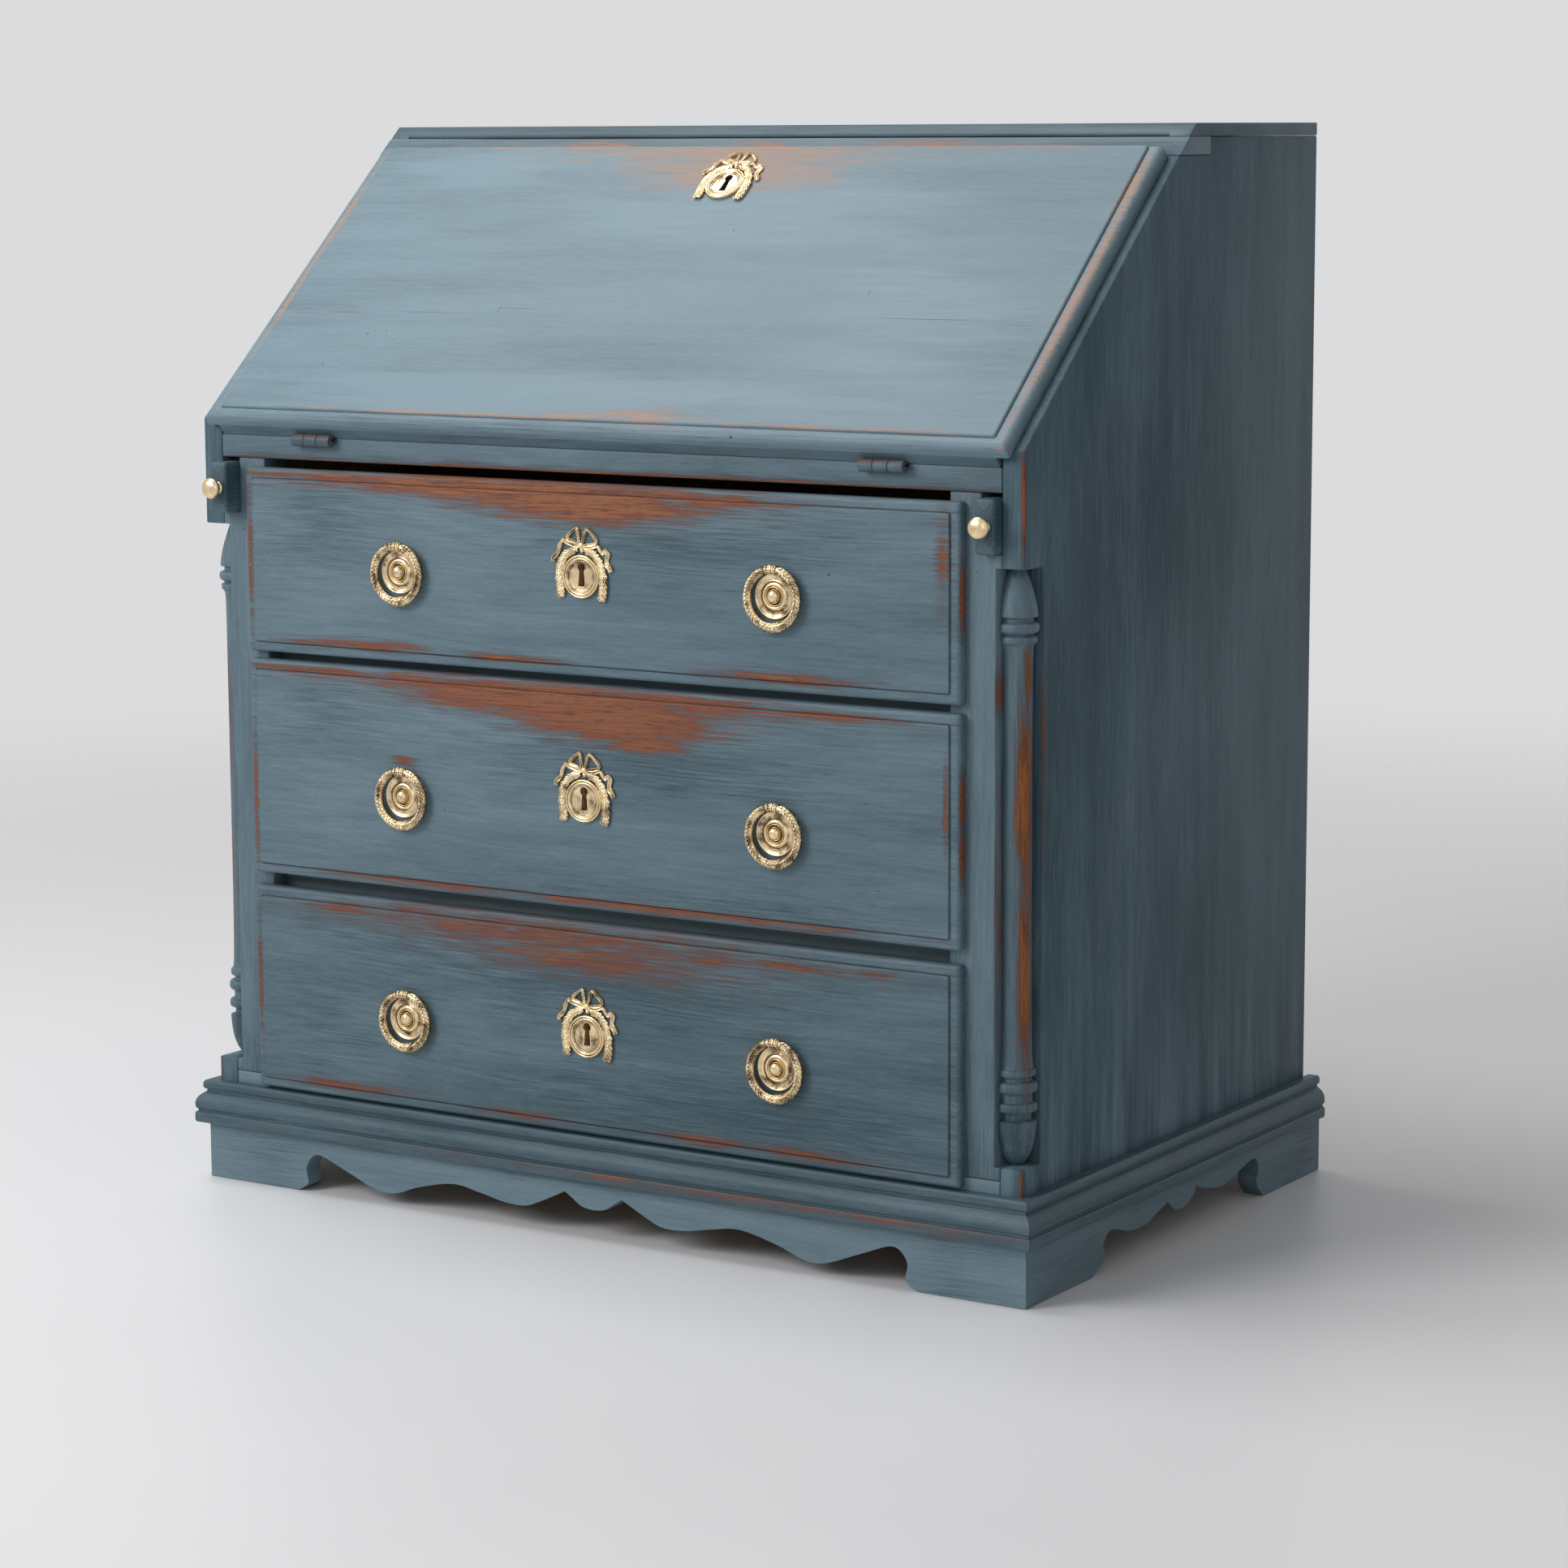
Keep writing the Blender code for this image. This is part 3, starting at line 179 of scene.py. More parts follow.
def painted_wood(name, centre, grain, across, worn=(), wax_and_shade=(), painted_light=(), dents_and_shade=(), tone=0.0, painted_sheen=0.0,
                 woods=(WOOD_RED, WOOD_TAN), sheen=PAINT_SHEEN):
    """Blue paint brushed along the grain, paler with more tone; each kind of mark is a row of ovals.

    Worn marks show the wood, paled by painted sheen where given; darker marks are dark wax and painted shade,
    paler ones painted light, dents and keyhole shade black.
    """
    made, tree, shader = new_finish(name)
    place = laid(tree, centre, grain, across)
    wobble = calc(tree, "MULTIPLY_ADD", cloud(tree, place, *WOBBLE), BRUSH_WANDER, -BRUSH_WANDER / 2)
    swept = vector_calc(tree, "ADD", place, vector_of(tree, z=wobble))
    mottle, tooth = cloud(tree, place, *MOTTLE), cloud(tree, place, *TOOTH)
    brush, hair, sweep, streak = (cloud(tree, swept, *noise) for noise in (BRUSH, HAIR, SWEEP, STREAK))
    # Tone of the paint: clouds of more and less paint, bristle marks, then wax and haze
    # A piece's own tone is lighter or darker partly as painted light and shade, for how its faces meet the
    # lamps
    shade = PAINT_TONE + tone
    for noise, strength in ((mottle, 0.62), (sweep, 0.30), (brush, 0.42), (hair, 0.34), (tooth, 0.24)):
        shade = varied(tree, shade, noise, strength)
    for marks, noise, strength, change in ((wax_and_shade, streak, 2.4, -0.30), (painted_light, sweep, 1.4, 0.50)):
        if marks:
            patch = varied(tree, ovals(tree, place, marks), noise, strength)
            shade = calc(tree, "ADD", shade, ramp(tree, patch, 0, 1.2, 0, change))
    paint = mixed(tree, ramp(tree, shade, 0.0, 1.0), PAINT_DEEP, PAINT_PALE)
    roughness = calc(tree, "MULTIPLY_ADD", brush, 0.22, 0.38)
    height = calc(tree, "MULTIPLY_ADD", hair, 0.5, brush)
    if worn:
        # The mark's edge runs out in streaks along the grain: thin paint first, red wood, then tan wood
        rubbed = calc(tree, "ADD", ovals(tree, place, worn), calc(tree, "MULTIPLY_ADD", streak, 3.1, -1.68))
        rubbed = varied(tree, rubbed, hair, 0.9)
        bare = ramp(tree, rubbed, -0.28, 0.48, 0.0, 0.85) if painted_sheen else ramp(tree, rubbed, -0.02, 0.24)
        depth = calc(tree, "MULTIPLY_ADD", rubbed, 0.9, -1.05)
        depth = calc(tree, "MULTIPLY_ADD", cloud(tree, swept, *FIGURE), 1.9, depth)
        lines = ramp(tree, calc(tree, "ADD", hair, streak), 1.04, 0.76, 0.0, 0.65)
        wood = mixed(tree, lines, mixed(tree, ramp(tree, depth, 0.0, 0.9), *woods), WOOD_DARK)
        # Painted sheen: the bare wood is paled where a face is turned up to the light
        if painted_sheen:
            wood = mixed(tree, ramp(tree, brush, 0.15, 0.60, painted_sheen * 0.7, painted_sheen), wood, SHEEN_PALE_WOOD)
        else:
            paint = mixed(tree, ramp(tree, rubbed, -0.75, 0.0, 0.0, 0.62), paint, THIN_PAINT)
        paint = mixed(tree, bare, paint, wood)
        roughness = calc(tree, "MULTIPLY_ADD", bare, 0.12, roughness)
        height = calc(tree, "MULTIPLY_ADD", bare, -0.8, height)
    # Dents are near black, and so is the painted shade in a keyhole
    if dents_and_shade:
        dent_and_shade_mask = ramp(tree, ovals(tree, place, dents_and_shade), 0.05, 0.55)
        paint = mixed(tree, calc(tree, "MULTIPLY", dent_and_shade_mask, 0.85), paint, DENT_AND_SHADE_BLACK)
        height = calc(tree, "MULTIPLY_ADD", dent_and_shade_mask, -1.2, height)
    shader.inputs["Specular IOR Level"].default_value = sheen
    coat(tree, shader, paint, roughness, height, PAINT_THICK, 0.6)
    return made


def shaded(mesh, angle=35):
    mesh.shade_smooth()
    mesh.set_sharp_from_angle(angle=math.radians(angle))
    return mesh


def eased(node, arris, steps=2):
    """A solid with its arrises taken off, as a plane and sandpaper leave them."""
    shape = bmesh.new()
    shape.from_mesh(nodes[node].data)
    bmesh.ops.remove_doubles(shape, verts=shape.verts, dist=1e-5)
    bmesh.ops.dissolve_limit(
        shape, angle_limit=math.radians(1), verts=shape.verts, edges=shape.edges)
    corners = [e for e in shape.edges if len(e.link_faces) == 2 and e.calc_face_angle(0) > math.radians(30)]
    bmesh.ops.bevel(
        shape, geom=corners, offset=arris, segments=steps, profile=0.5, affect="EDGES", clamp_overlap=True)
    mesh = bpy.data.meshes.new(f"{node}_wood")
    shape.to_mesh(mesh)
    shape.free()
    return shaded(mesh)


def placed(name, data):
    made = bpy.data.objects.new(name, data)
    bpy.context.collection.objects.link(made)
    return made


def fit(name, mesh, body, slot, finishes, *stands_for):
    """Puts a piece in its place on its body."""
    piece = placed(name, mesh)
    mesh.materials.clear()
    for finish in finishes:
        mesh.materials.append(finish)
    if stands_for:
        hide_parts(*stands_for)
    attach(piece, body)
    return piece


def fit_board(name, node, arris, body, slot, *finishes, steps=2):
    """Fits a piece that has its solid's own shape, with its arrises eased."""
    return fit(name, eased(node, arris, steps), body, slot, finishes, node)


UP, RIGHT, BACKWARD = (0, 0, 1), (1, 0, 0), (0, 1, 0)
for side, sign in SIDES.items():
    low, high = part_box(f"side_panel_{side}")
    # The wear is a line on the outer front arris, above the column
    # Darker near the top and paler low down: painted shade and painted light for how the lamps fall on the
    # sides; the low tone is painted shade
    finish = painted_wood(
        f"side_paint_{side}", (low.x if sign < 0 else high.x, low.y, 0), UP, BACKWARD,
        worn=SIDE_WORN if sign > 0 else SIDE_WORN[1:2],
        wax_and_shade=((0.50, 0.05, 0.45, 0.05, 0.5), (0.66, 0.30, 0.20, 0.30, 0.5)),
        painted_light=((0.02, 0.30, 0.24, 1.2, 0.6),), tone=-0.13, sheen=SIDE_SHEEN)
    fit_board(f"side_board_{side}", f"side_panel_{side}", SIDE_ARRIS, "root", "blue_paint", finish)


# Floor, back and rear rail: bare pine, never painted. The back is upright boards, each chamfered along its
# edges and nailed to the floor, the desk board and the top.
PINE_PALE = (0.520, 0.345, 0.180)
PINE_DARK = (0.300, 0.165, 0.075)
BACK_BOARDS = 6
BACK_JOINT = 0.0012
BACK_CHAMFER = 0.0018
NAIL_HEAD = 0.0035
NAIL_ROUND = 10
NAIL_THICK = 0.0012
IRON_BLACK = (0.105, 0.098, 0.092)
RUST = (0.145, 0.062, 0.028)
SOCKET_KINDS = {int: "NodeSocketInt", float: "NodeSocketFloat"}
FRONT_EDGE = 0.004


def bare_pine(name, centre, grain, across, age=0.5):
    """Sawn and planed pine, yellowed, with dirt along the grain."""
    made, tree, shader = new_finish(name)
    place = laid(tree, centre, grain, across)
    figure = cloud(tree, place, (1.2, 22, 22), 2, 5)
    rings = calc(tree, "PINGPONG", calc(tree, "MULTIPLY", figure, 9.0), 0.5)
    fibre = cloud(tree, place, (9, 700, 700), 3)
    stain = cloud(tree, place, (3, 6, 6), 4, 9)
    shade = calc(tree, "MULTIPLY_ADD", rings, -0.9, 0.95 - 0.5 * age)
    shade = varied(tree, varied(tree, shade, fibre, 0.7), stain, 1.4)
    colour = mixed(tree, ramp(tree, shade, 0, 1), PINE_DARK, PINE_PALE)
    coat(tree, shader, colour, calc(tree, "MULTIPLY_ADD", fibre, 0.2, 0.6), fibre, 0.0003, 0.5)
    return made


def cold_iron(name):
    """Blackened wrought iron with a bloom of rust."""
    made, tree, shader = new_finish(name)
    place = laid(tree, (0, 0, 0), RIGHT, UP)
    bloom = cloud(tree, place, (140, 140, 140), 5)
    scale = cloud(tree, place, (900, 900, 900), 3)
    rust = ramp(tree, bloom, 0.52, 0.70)
    plug(tree, shader.inputs["Metallic"], calc(tree, "MULTIPLY_ADD", rust, -0.8, 0.95))
    coat(tree, shader, mixed(tree, rust, IRON_BLACK, RUST), calc(tree, "MULTIPLY_ADD", scale, 0.4, 0.30),
         calc(tree, "ADD", bloom, scale), 0.0004, 0.5)
    return made


def box_into(shape, low, high):
    """Adds a rectangular board to a shape."""
    made = bmesh.ops.create_cube(shape, size=1)["verts"]
    for vert in made:
        vert.co = Vector([a + (c + 0.5) * (b - a) for a, b, c in zip(low, high, vert.co)])
    return made


def mesh_of(shape, name, angle=35):
    """The finished mesh of a shape built by hand."""
    mesh = bpy.data.meshes.new(name)
    shape.to_mesh(mesh)
    shape.free()
    return shaded(mesh, angle)


def tree_with(name, sizes):
    """A new tree: its geometry comes in and goes out, beside its named sizes."""
    tree = bpy.data.node_groups.new(name, "GeometryNodeTree")
    tree.interface.new_socket(name="Geometry", in_out="INPUT", socket_type="NodeSocketGeometry")
    for title, value in sizes.items():
        kind = SOCKET_KINDS.get(type(value), "NodeSocketObject")
        socket = tree.interface.new_socket(name=title, in_out="INPUT", socket_type=kind)
        if type(value) in SOCKET_KINDS:
            socket.default_value = value
    tree.interface.new_socket(name="Finish", in_out="INPUT", socket_type="NodeSocketMaterial")
    tree.interface.new_socket(name="Geometry", in_out="OUTPUT", socket_type="NodeSocketGeometry")
    return tree, tree.nodes.new("NodeGroupInput").outputs


def settle(tree, given, inputs):
    """Ends a tree: what is set on its points becomes real, then takes its finish."""
    spread = add(tree, "GeometryNodeInstanceOnPoints", inputs)
    real = add(tree, "GeometryNodeRealizeInstances", {"Geometry": spread.outputs["Instances"]})
    dressed = add(tree, "GeometryNodeSetMaterial", {
        "Geometry": real.outputs["Geometry"], "Material": given["Finish"]})
    add(tree, "NodeGroupOutput", {"Geometry": dressed.outputs["Geometry"]})
    return tree


def result_of(holder):
    """What an object's modifiers make, as a plain mesh; the object goes."""
    bpy.context.view_layer.update()
    graph = bpy.context.evaluated_depsgraph_get()
    result = bpy.data.meshes.new_from_object(holder.evaluated_get(graph))
    holder.modifiers.clear()
    bpy.data.objects.remove(holder)
    return result


def grow(tree, mesh, finish, sizes):
    """Runs a tree of nodes on a mesh."""
    holder = placed("grown", mesh)
    step = holder.modifiers.new("grown", "NODES")
    step.node_group = tree
    given = {**sizes, "Finish": finish}
    for item in tree.interface.items_tree:
        if item.in_out == "INPUT" and item.name in given:
            step[item.identifier] = given[item.name]
    return result_of(holder)


def nail_rows(sizes):
    """Nail heads in a grid on an upright plane: so many across and in rows."""
    tree, given = tree_with("nail_rows", sizes)
    grid = add(tree, "GeometryNodeMeshGrid", {
        "Size X": given["Width"], "Size Y": given["Height"],
        "Vertices X": given["Across"], "Vertices Y": given["Rows"]})
    turn = add(tree, "GeometryNodeTransform", {
        "Geometry": grid.outputs["Mesh"], "Rotation": (math.pi / 2, 0, 0)})
    chance = add(tree, "FunctionNodeRandomValue", {
        0: (-1, 0, -1), 1: (1, 0, 1), "Seed": given["Seed"]}, data_type="FLOAT_VECTOR")
    shove = add(tree, "GeometryNodeSetPosition", {
        "Geometry": turn.outputs["Geometry"], "Offset": scaled(tree, chance.outputs[0], given["Jitter"])})
    return settle(tree, given, {"Points": shove.outputs["Geometry"], "Instance": given["Geometry"]})


def paint_front(board, front, painted=True):
    """Gives the faces of a board's front edge its second finish."""
    for face in board.data.polygons:
        face.material_index = int(painted and face.center.y < front + FRONT_EDGE)


low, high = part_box("back_panel")
back_shape = bmesh.new()
pitch = (high.x - low.x) / BACK_BOARDS
for i in range(BACK_BOARDS):
    start = low.x + i * pitch + (BACK_JOINT / 2 if i else 0)
    end = low.x + (i + 1) * pitch - (BACK_JOINT / 2 if i < BACK_BOARDS - 1 else 0)
    box_into(back_shape, (start, low.y, low.z), (end, high.y, high.z))
bmesh.ops.bevel(back_shape, geom=back_shape.edges[:], offset=BACK_CHAMFER, segments=1, affect="EDGES")
BACK_PINE = bare_pine("back_pine", (0, high.y, 0), UP, RIGHT, 0.75)
fit("back_boards", mesh_of(back_shape, "back_boards"), "root", "bare_pine", [BACK_PINE], "back_panel")

IRON = cold_iron("iron")
nail = bmesh.new()
bmesh.ops.create_cone(
    nail, cap_ends=True, segments=NAIL_ROUND, radius1=NAIL_HEAD, radius2=NAIL_HEAD * 0.6, depth=NAIL_THICK,
    matrix=Matrix.Rotation(-math.pi / 2, 4, "X"))
nail_sizes = {
    "Across": 2 * BACK_BOARDS, "Rows": 4, "Width": (high.x - low.x) - pitch / 2,
    "Height": (high.z - low.z) * 0.96, "Seed": 4, "Jitter": 0.004}
nails = grow(nail_rows(nail_sizes), mesh_of(nail, "nail"), IRON, nail_sizes)
nails.transform(Matrix.Translation((0, high.y - NAIL_THICK / 2, (low.z + high.z) / 2)))
fit("back_nails", nails, "root", "iron", [IRON])

# The rails' paint has a pale tone: painted light where they show in the shadowed gaps between the drawers
FRAME_PAINT = painted_wood("frame_paint", (0, -0.26, 0.3), RIGHT, UP, tone=0.22)
for node, across in (("bottom_board", BACKWARD), ("base_back_rail", UP)):
    low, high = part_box(node)
    pine = bare_pine(f"{node}_pine", low, RIGHT, across, 0.6)
    board = fit_board(f"{node}_pine", node, 0.001, "root", "bare_pine", pine, FRAME_PAINT)
    paint_front(board, low.y, node == "bottom_board")


# Dust frames: glued frames of pine between the drawers, with the strips that guide them. The upper one
# also carries the walls and ledges of the lopers. Only their front rails are painted.
for node in ("dust_frame_upper", "dust_frame_lower"):
    low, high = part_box(node)
    pine = bare_pine(f"{node}_pine", low, RIGHT, BACKWARD, 0.5)
    board = fit_board(f"{node}_wood", node, 0.0008, "root", "bare_pine", pine, FRAME_PAINT)
    paint_front(board, low.y)


# Desk board: the writing surface, let in between the side boards; its front edge shows under the fall.
# Pine, painted, with beds for the hinges' lower leaves.
low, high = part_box("desk_board")
# The darker line along its front is dark wax and painted shade
finish = painted_wood(
    "desk_board_paint", (0, low.y, high.z), RIGHT, UP,
    worn=((0.0, -0.021, 0.35, 0.0025, 0.5),), wax_and_shade=((0, -0.022, 0.5, 0.006, 0.7),), tone=-0.02)
fit_board("desk_board_wood", "desk_board", 0.0012, "root", "blue_paint", finish)


# Corner posts: uprights beside the drawers, pine with the grain upright and painted. They stand on the
# bottom board and are housed behind the columns.
for side, sign in SIDES.items():
    low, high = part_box(f"corner_post_{side}")
    # Darker at the top and foot and along the inner edge by the drawers: dark wax and painted shade
    finish = painted_wood(
        f"post_paint_{side}", (sign * 0.40, low.y, 0), UP, RIGHT,
        worn=((0.534, 0.0225 * sign, 0.018, 0.0010, 0.8), (0.343, 0.0225 * sign, 0.040, 0.0007, 0.2)),
        wax_and_shade=((0.70, 0, 0.03, 0.05, 0.6), (0.12, 0, 0.04, 0.05, 0.6), (0.40, -0.02 * sign, 0.3, 0.006, 0.5)),
        dents_and_shade=((0.640, 0.004 * sign, 0.0011, 0.0011, 1), (0.262, -0.006 * sign, 0.0010, 0.0010, 1)),
        tone=0.02)
    fit_board(f"post_{side}", f"corner_post_{side}", 0.0012, "root", "blue_paint", finish)


# Corner columns: turned pine, glued into the notches at the front corners. Hands have rubbed one side of
# each shaft down to the wood.
COLUMN_ROUND = 48
COLUMN_WIDEST = 0.019
COLUMN_MIDDLE = (0.4305, -0.2496)
COLUMN_WALL = 0.4223
COLUMN_SHARES = (
    (0.34, 0.0), (0.50, 0.0075), (0.67, 0.018), (0.83, 0.034), (0.93, 0.056), (0.965, 0.0725),
    (0.955, 0.0757), (0.74, 0.0785), (0.73, 0.082), (0.74, 0.090), (0.95, 0.0925), (1.0, 0.0990),
    (0.95, 0.1055), (0.78, 0.108), (0.76, 0.115), (0.78, 0.122), (0.95, 0.1260), (1.0, 0.1322),
    (0.95, 0.1405), (0.74, 0.144), (0.74, 0.150), (0.90, 0.153), (0.90, 0.163), (0.79, 0.168),
    (0.74, 0.205), (0.71, 0.300), (0.70, 0.500), (0.70, 0.750), (0.71, 0.850), (0.76, 0.872),
    (0.89, 0.8775), (0.89, 0.886), (0.74, 0.890), (0.95, 0.8955), (1.0, 0.902), (0.95, 0.9085),
    (0.76, 0.912), (0.75, 0.918), (0.90, 0.9195), (0.93, 0.9220), (0.90, 0.9340), (0.80, 0.9525),
    (0.61, 0.975), (0.46, 0.991), (0.36, 1.0),
)


def smooth_run(points, steps):
    """Points of an even curve through the given ones."""
    padded = [points[0], *points, points[-1]]
    run = []
    for before, here, there, beyond in zip(padded, padded[1:], padded[2:], padded[3:]):
        for step in range(steps):
            t = step / steps
            run.append(tuple(
                (2 * b + (c - a) * t + (2 * a - 5 * b + 4 * c - d) * t * t
                 + (3 * b - a - 3 * c + d) * t ** 3) / 2
                for a, b, c, d in zip(before, here, there, beyond)))
    return run + [tuple(points[-1])]


def profile_of(shares, radius, start, end, steps):
    """A turned form's outline in real sizes, from shares of its radius and of its length."""
    return smooth_run([(r * radius, start + up * (end - start)) for r, up in shares], steps)


def close_round(shape, rings, ends):
    """Closes a form round its axis: the rings of points, and one point at each end."""
    around = len(rings[0])
    for i in range(around):
        j = (i + 1) % around
        shape.faces.new((ends[0], rings[0][j], rings[0][i]))
        shape.faces.new((ends[1], rings[-1][i], rings[-1][j]))
        for one, two in zip(rings, rings[1:]):
            shape.faces.new((one[i], one[j], two[j], two[i]))


def turned_into(shape, profile, around, place):
    """Adds a lathe-turned form: (radius, distance along the axis) from end to end, closed at both."""
    ends = [shape.verts.new(place(0, 0, profile[i][1])) for i in (0, -1)]
    angles = [2 * math.pi * i / around for i in range(around)]
    close_round(shape, [[
        shape.verts.new(place(radius * math.cos(angle), radius * math.sin(angle), along)) for angle in angles]
        for radius, along in profile], ends)


def closed_mesh(shape, name, angle=35):
    """The finished mesh of a closed shape, its faces pointing outwards."""
    bmesh.ops.recalc_face_normals(shape, faces=shape.faces)
    return mesh_of(shape, name, angle)


for side, sign in SIDES.items():
    low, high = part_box(f"column_{side}")
    middle_x, middle_y = sign * COLUMN_MIDDLE[0], COLUMN_MIDDLE[1]
    shape = bmesh.new()
    turned_into(shape, profile_of(COLUMN_SHARES, COLUMN_WIDEST, low.z, high.z, 4), COLUMN_ROUND,
                lambda a, b, up: (middle_x + a, middle_y + b, up))
    # Planed flat where it is glued into its notch
    for point, outward in (((sign * COLUMN_WALL, 0, 0), (-sign, 0, 0)), ((0, high.y, 0), (0, 1, 0))):
        bmesh.ops.bisect_plane(
            shape, geom=shape.verts[:] + shape.edges[:] + shape.faces[:], plane_co=point, plane_no=outward,
            clear_outer=True)
        bmesh.ops.holes_fill(shape, edges=[e for e in shape.edges if e.is_boundary])
    # Darker at the head and the foot, in the notch: dark wax and painted shade; the bare wood is darkened as
    # painted shade
    finish = painted_wood(
        f"column_paint_{side}", (middle_x, middle_y, 0), UP, RIGHT,
        worn=((0.446, 0.0117 * sign, 0.085, 0.0095, 1.7, 0.0063, 0.0095),
              (0.548, 0.0120 * sign, 0.035, 0.0045, 1.1, 0.0040, 0.0045),
              (0.300, 0.0122 * sign, 0.100, 0.0078, 1.25, 0.0055, 0.0078)),
        wax_and_shade=((0.655, 0, 0.03, 0.03, 1.2), (0.15, 0, 0.045, 0.03, 1.0)), tone=-0.02, woods=COLUMN_WOODS_AND_SHADE)
    fit(f"turned_column_{side}", closed_mesh(shape, f"turned_column_{side}", 50), "root", "blue_paint",
        [finish], f"column_{side}")


# Base: three pine boards on edge, mitred in front and glued under the case. Their lower edges are sawn
# to a run of brackets that leaves the feet.
APRON = 0.020
SEAM = 0.0003
EDGE_STEPS = 5
FRONT_APRON_SHARES = (
    ((1.0, 0.0), (0.761, 0.0)),
    ((0.761, 0.0), (0.735, 0.150), (0.738, 0.460), (0.707, 0.690), (0.640, 0.500),
     (0.555, 0.230), (0.505, 0.215), (0.440, 0.400), (0.353, 0.555), (0.285, 0.480),
     (0.225, 0.385), (0.170, 0.375), (0.130, 0.500), (0.096, 0.640)),
    ((0.070, 0.745), (0.050, 0.640), (0.029, 0.525), (0.0, 0.485)),
)
SIDE_APRON_SHARES = (
    ((0.0, 0.0), (0.204, 0.0)),
    ((0.204, 0.0), (0.243, 0.215), (0.240, 0.480), (0.268, 0.660), (0.324, 0.500),
     (0.380, 0.480), (0.415, 0.580), (0.450, 0.680)),
    ((0.455, 0.680), (0.474, 0.520), (0.497, 0.465), (0.520, 0.490), (0.545, 0.640)),
    ((0.549, 0.755), (0.575, 0.650), (0.637, 0.520), (0.673, 0.570), (0.717, 0.690),
     (0.757, 0.755), (0.772, 0.560), (0.766, 0.280), (0.792, 0.0)),
    ((0.792, 0.0), (1.0, 0.0)),
)


def run_together(runs, steps, least, place):
    """One outline through runs of points, with a corner where one run ends and the next starts."""
    edge = []
    for run in runs:
        for across, up in smooth_run(run, steps) if len(run) > 2 else run:
            point = place(across, up)
            if not edge or math.dist(edge[-1], point) > least:
                edge.append(point)
    return edge


def loft(shape, outlines):
    """Closes a form through outlines of as many points each, flat at both ends."""
    rings = [[shape.verts.new(point) for point in outline] for outline in outlines]
    shape.faces.new(rings[0])
    shape.faces.new(rings[-1][::-1])
    for one, two in zip(rings, rings[1:]):
        for i in range(len(one)):
            j = (i + 1) % len(one)
            shape.faces.new((one[j], one[i], two[i], two[j]))


low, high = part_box("apron_front")
half = run_together(FRONT_APRON_SHARES, EDGE_STEPS, SEAM, lambda along, up: (high.x * along, high.z * up))
outline = [(high.x, high.z), *half, *((-x, z) for x, z in reversed(half[:-1])), (low.x, high.z)]
inside = high.x - APRON - SEAM
shape = bmesh.new()
loft(shape, ([(x, low.y, z) for x, z in outline],
             [(math.copysign(min(abs(x), inside), x), high.y, z) for x, z in outline]))
# Dark patches near the feet and a line along the top: dark wax, and painted shade under the moulding
finish = painted_wood(
    "apron_front_paint", (0, low.y, 0), RIGHT, UP,
    wax_and_shade=((-0.38, 0.02, 0.06, 0.05, 0.6), (0.38, 0.02, 0.06, 0.05, 0.6), (0, 0.052, 0.45, 0.007, 0.9)),
    tone=0.19)
fit("base_front", closed_mesh(shape, "base_front"), "root", "blue_paint", [finish], "apron_front")
for side, sign in SIDES.items():
    low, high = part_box(f"apron_{side}")
    front, reach, outer = low.y, high.y - low.y, high.x if sign > 0 else low.x
    outline = [(0, high.z), *run_together(
        SIDE_APRON_SHARES, EDGE_STEPS, SEAM, lambda along, up: (reach * along, high.z * up)), (reach, high.z)]
    shape = bmesh.new()
    loft(shape, ([(outer, front + y, z) for y, z in outline],
                 [(outer - sign * APRON, front + max(y, APRON), z) for y, z in outline]))
    # As in front: a dark patch, and painted shade along the top under the moulding
    finish = painted_wood(
        f"apron_paint_{side}", (outer, front + 0.3, 0), BACKWARD, UP,
        wax_and_shade=((0.25, 0.02, 0.07, 0.05, 0.6), (0, 0.052, 0.3, 0.008, 0.9)), tone=0.08)
    fit(f"base_{side}", closed_mesh(shape, f"base_{side}"), "root", "blue_paint", [finish], f"apron_{side}")


# Base moulding: planed lengths of pine round three sides, mitred at the front corners, glued and nailed
# on top of the base. From the top: a small round, a hollow, a full round, a groove and a flat.
MOULDING_RUNS = (
    ((0.0, 0.0), (0.86, 0.0)),
    ((0.86, 0.0), (0.96, 0.02), (1.0, 0.07)),
    ((1.0, 0.07), (1.0, 0.19)),
    ((1.0, 0.19), (0.985, 0.245), (0.93, 0.26), (0.88, 0.27)),
    ((0.87, 0.275), (0.87, 0.315)),
    ((0.88, 0.32), (0.95, 0.35), (0.985, 0.42), (0.975, 0.50), (0.91, 0.58), (0.80, 0.645), (0.68, 0.69),
     (0.54, 0.73)),
    ((0.52, 0.74), (0.52, 0.785)),
    ((0.53, 0.79), (0.62, 0.805), (0.66, 0.85), (0.665, 0.90), (0.64, 0.96), (0.56, 1.0)),
    ((0.56, 1.0), (0.0, 1.0)),
)
MOULDING_REACH = 0.0181
# Dark lines in the moulding's quirks: dark wax and painted shade
MOULDING_WAX_AND_SHADE = ((0, 0.012, 0.5, 0.0022, 1.2), (0, 0.031, 0.5, 0.0022, 1.2))
low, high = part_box("moulding_front")
case_front = high.y + SEAM
section = run_together(MOULDING_RUNS, 3, 1e-5, lambda out, up: (
    SEAM + MOULDING_REACH * out, low.z + (high.z - low.z) * up))
shape = bmesh.new()
loft(shape, ([(-0.45 - out + SEAM, case_front - out, z) for out, z in section],
             [(0.45 + out - SEAM, case_front - out, z) for out, z in section]))
finish = painted_wood(
    "moulding_front_paint", (0, low.y, low.z), RIGHT, UP,
    worn=((0.2, 0.008, 0.2, 0.002, 0.35),), wax_and_shade=MOULDING_WAX_AND_SHADE, tone=-0.20)
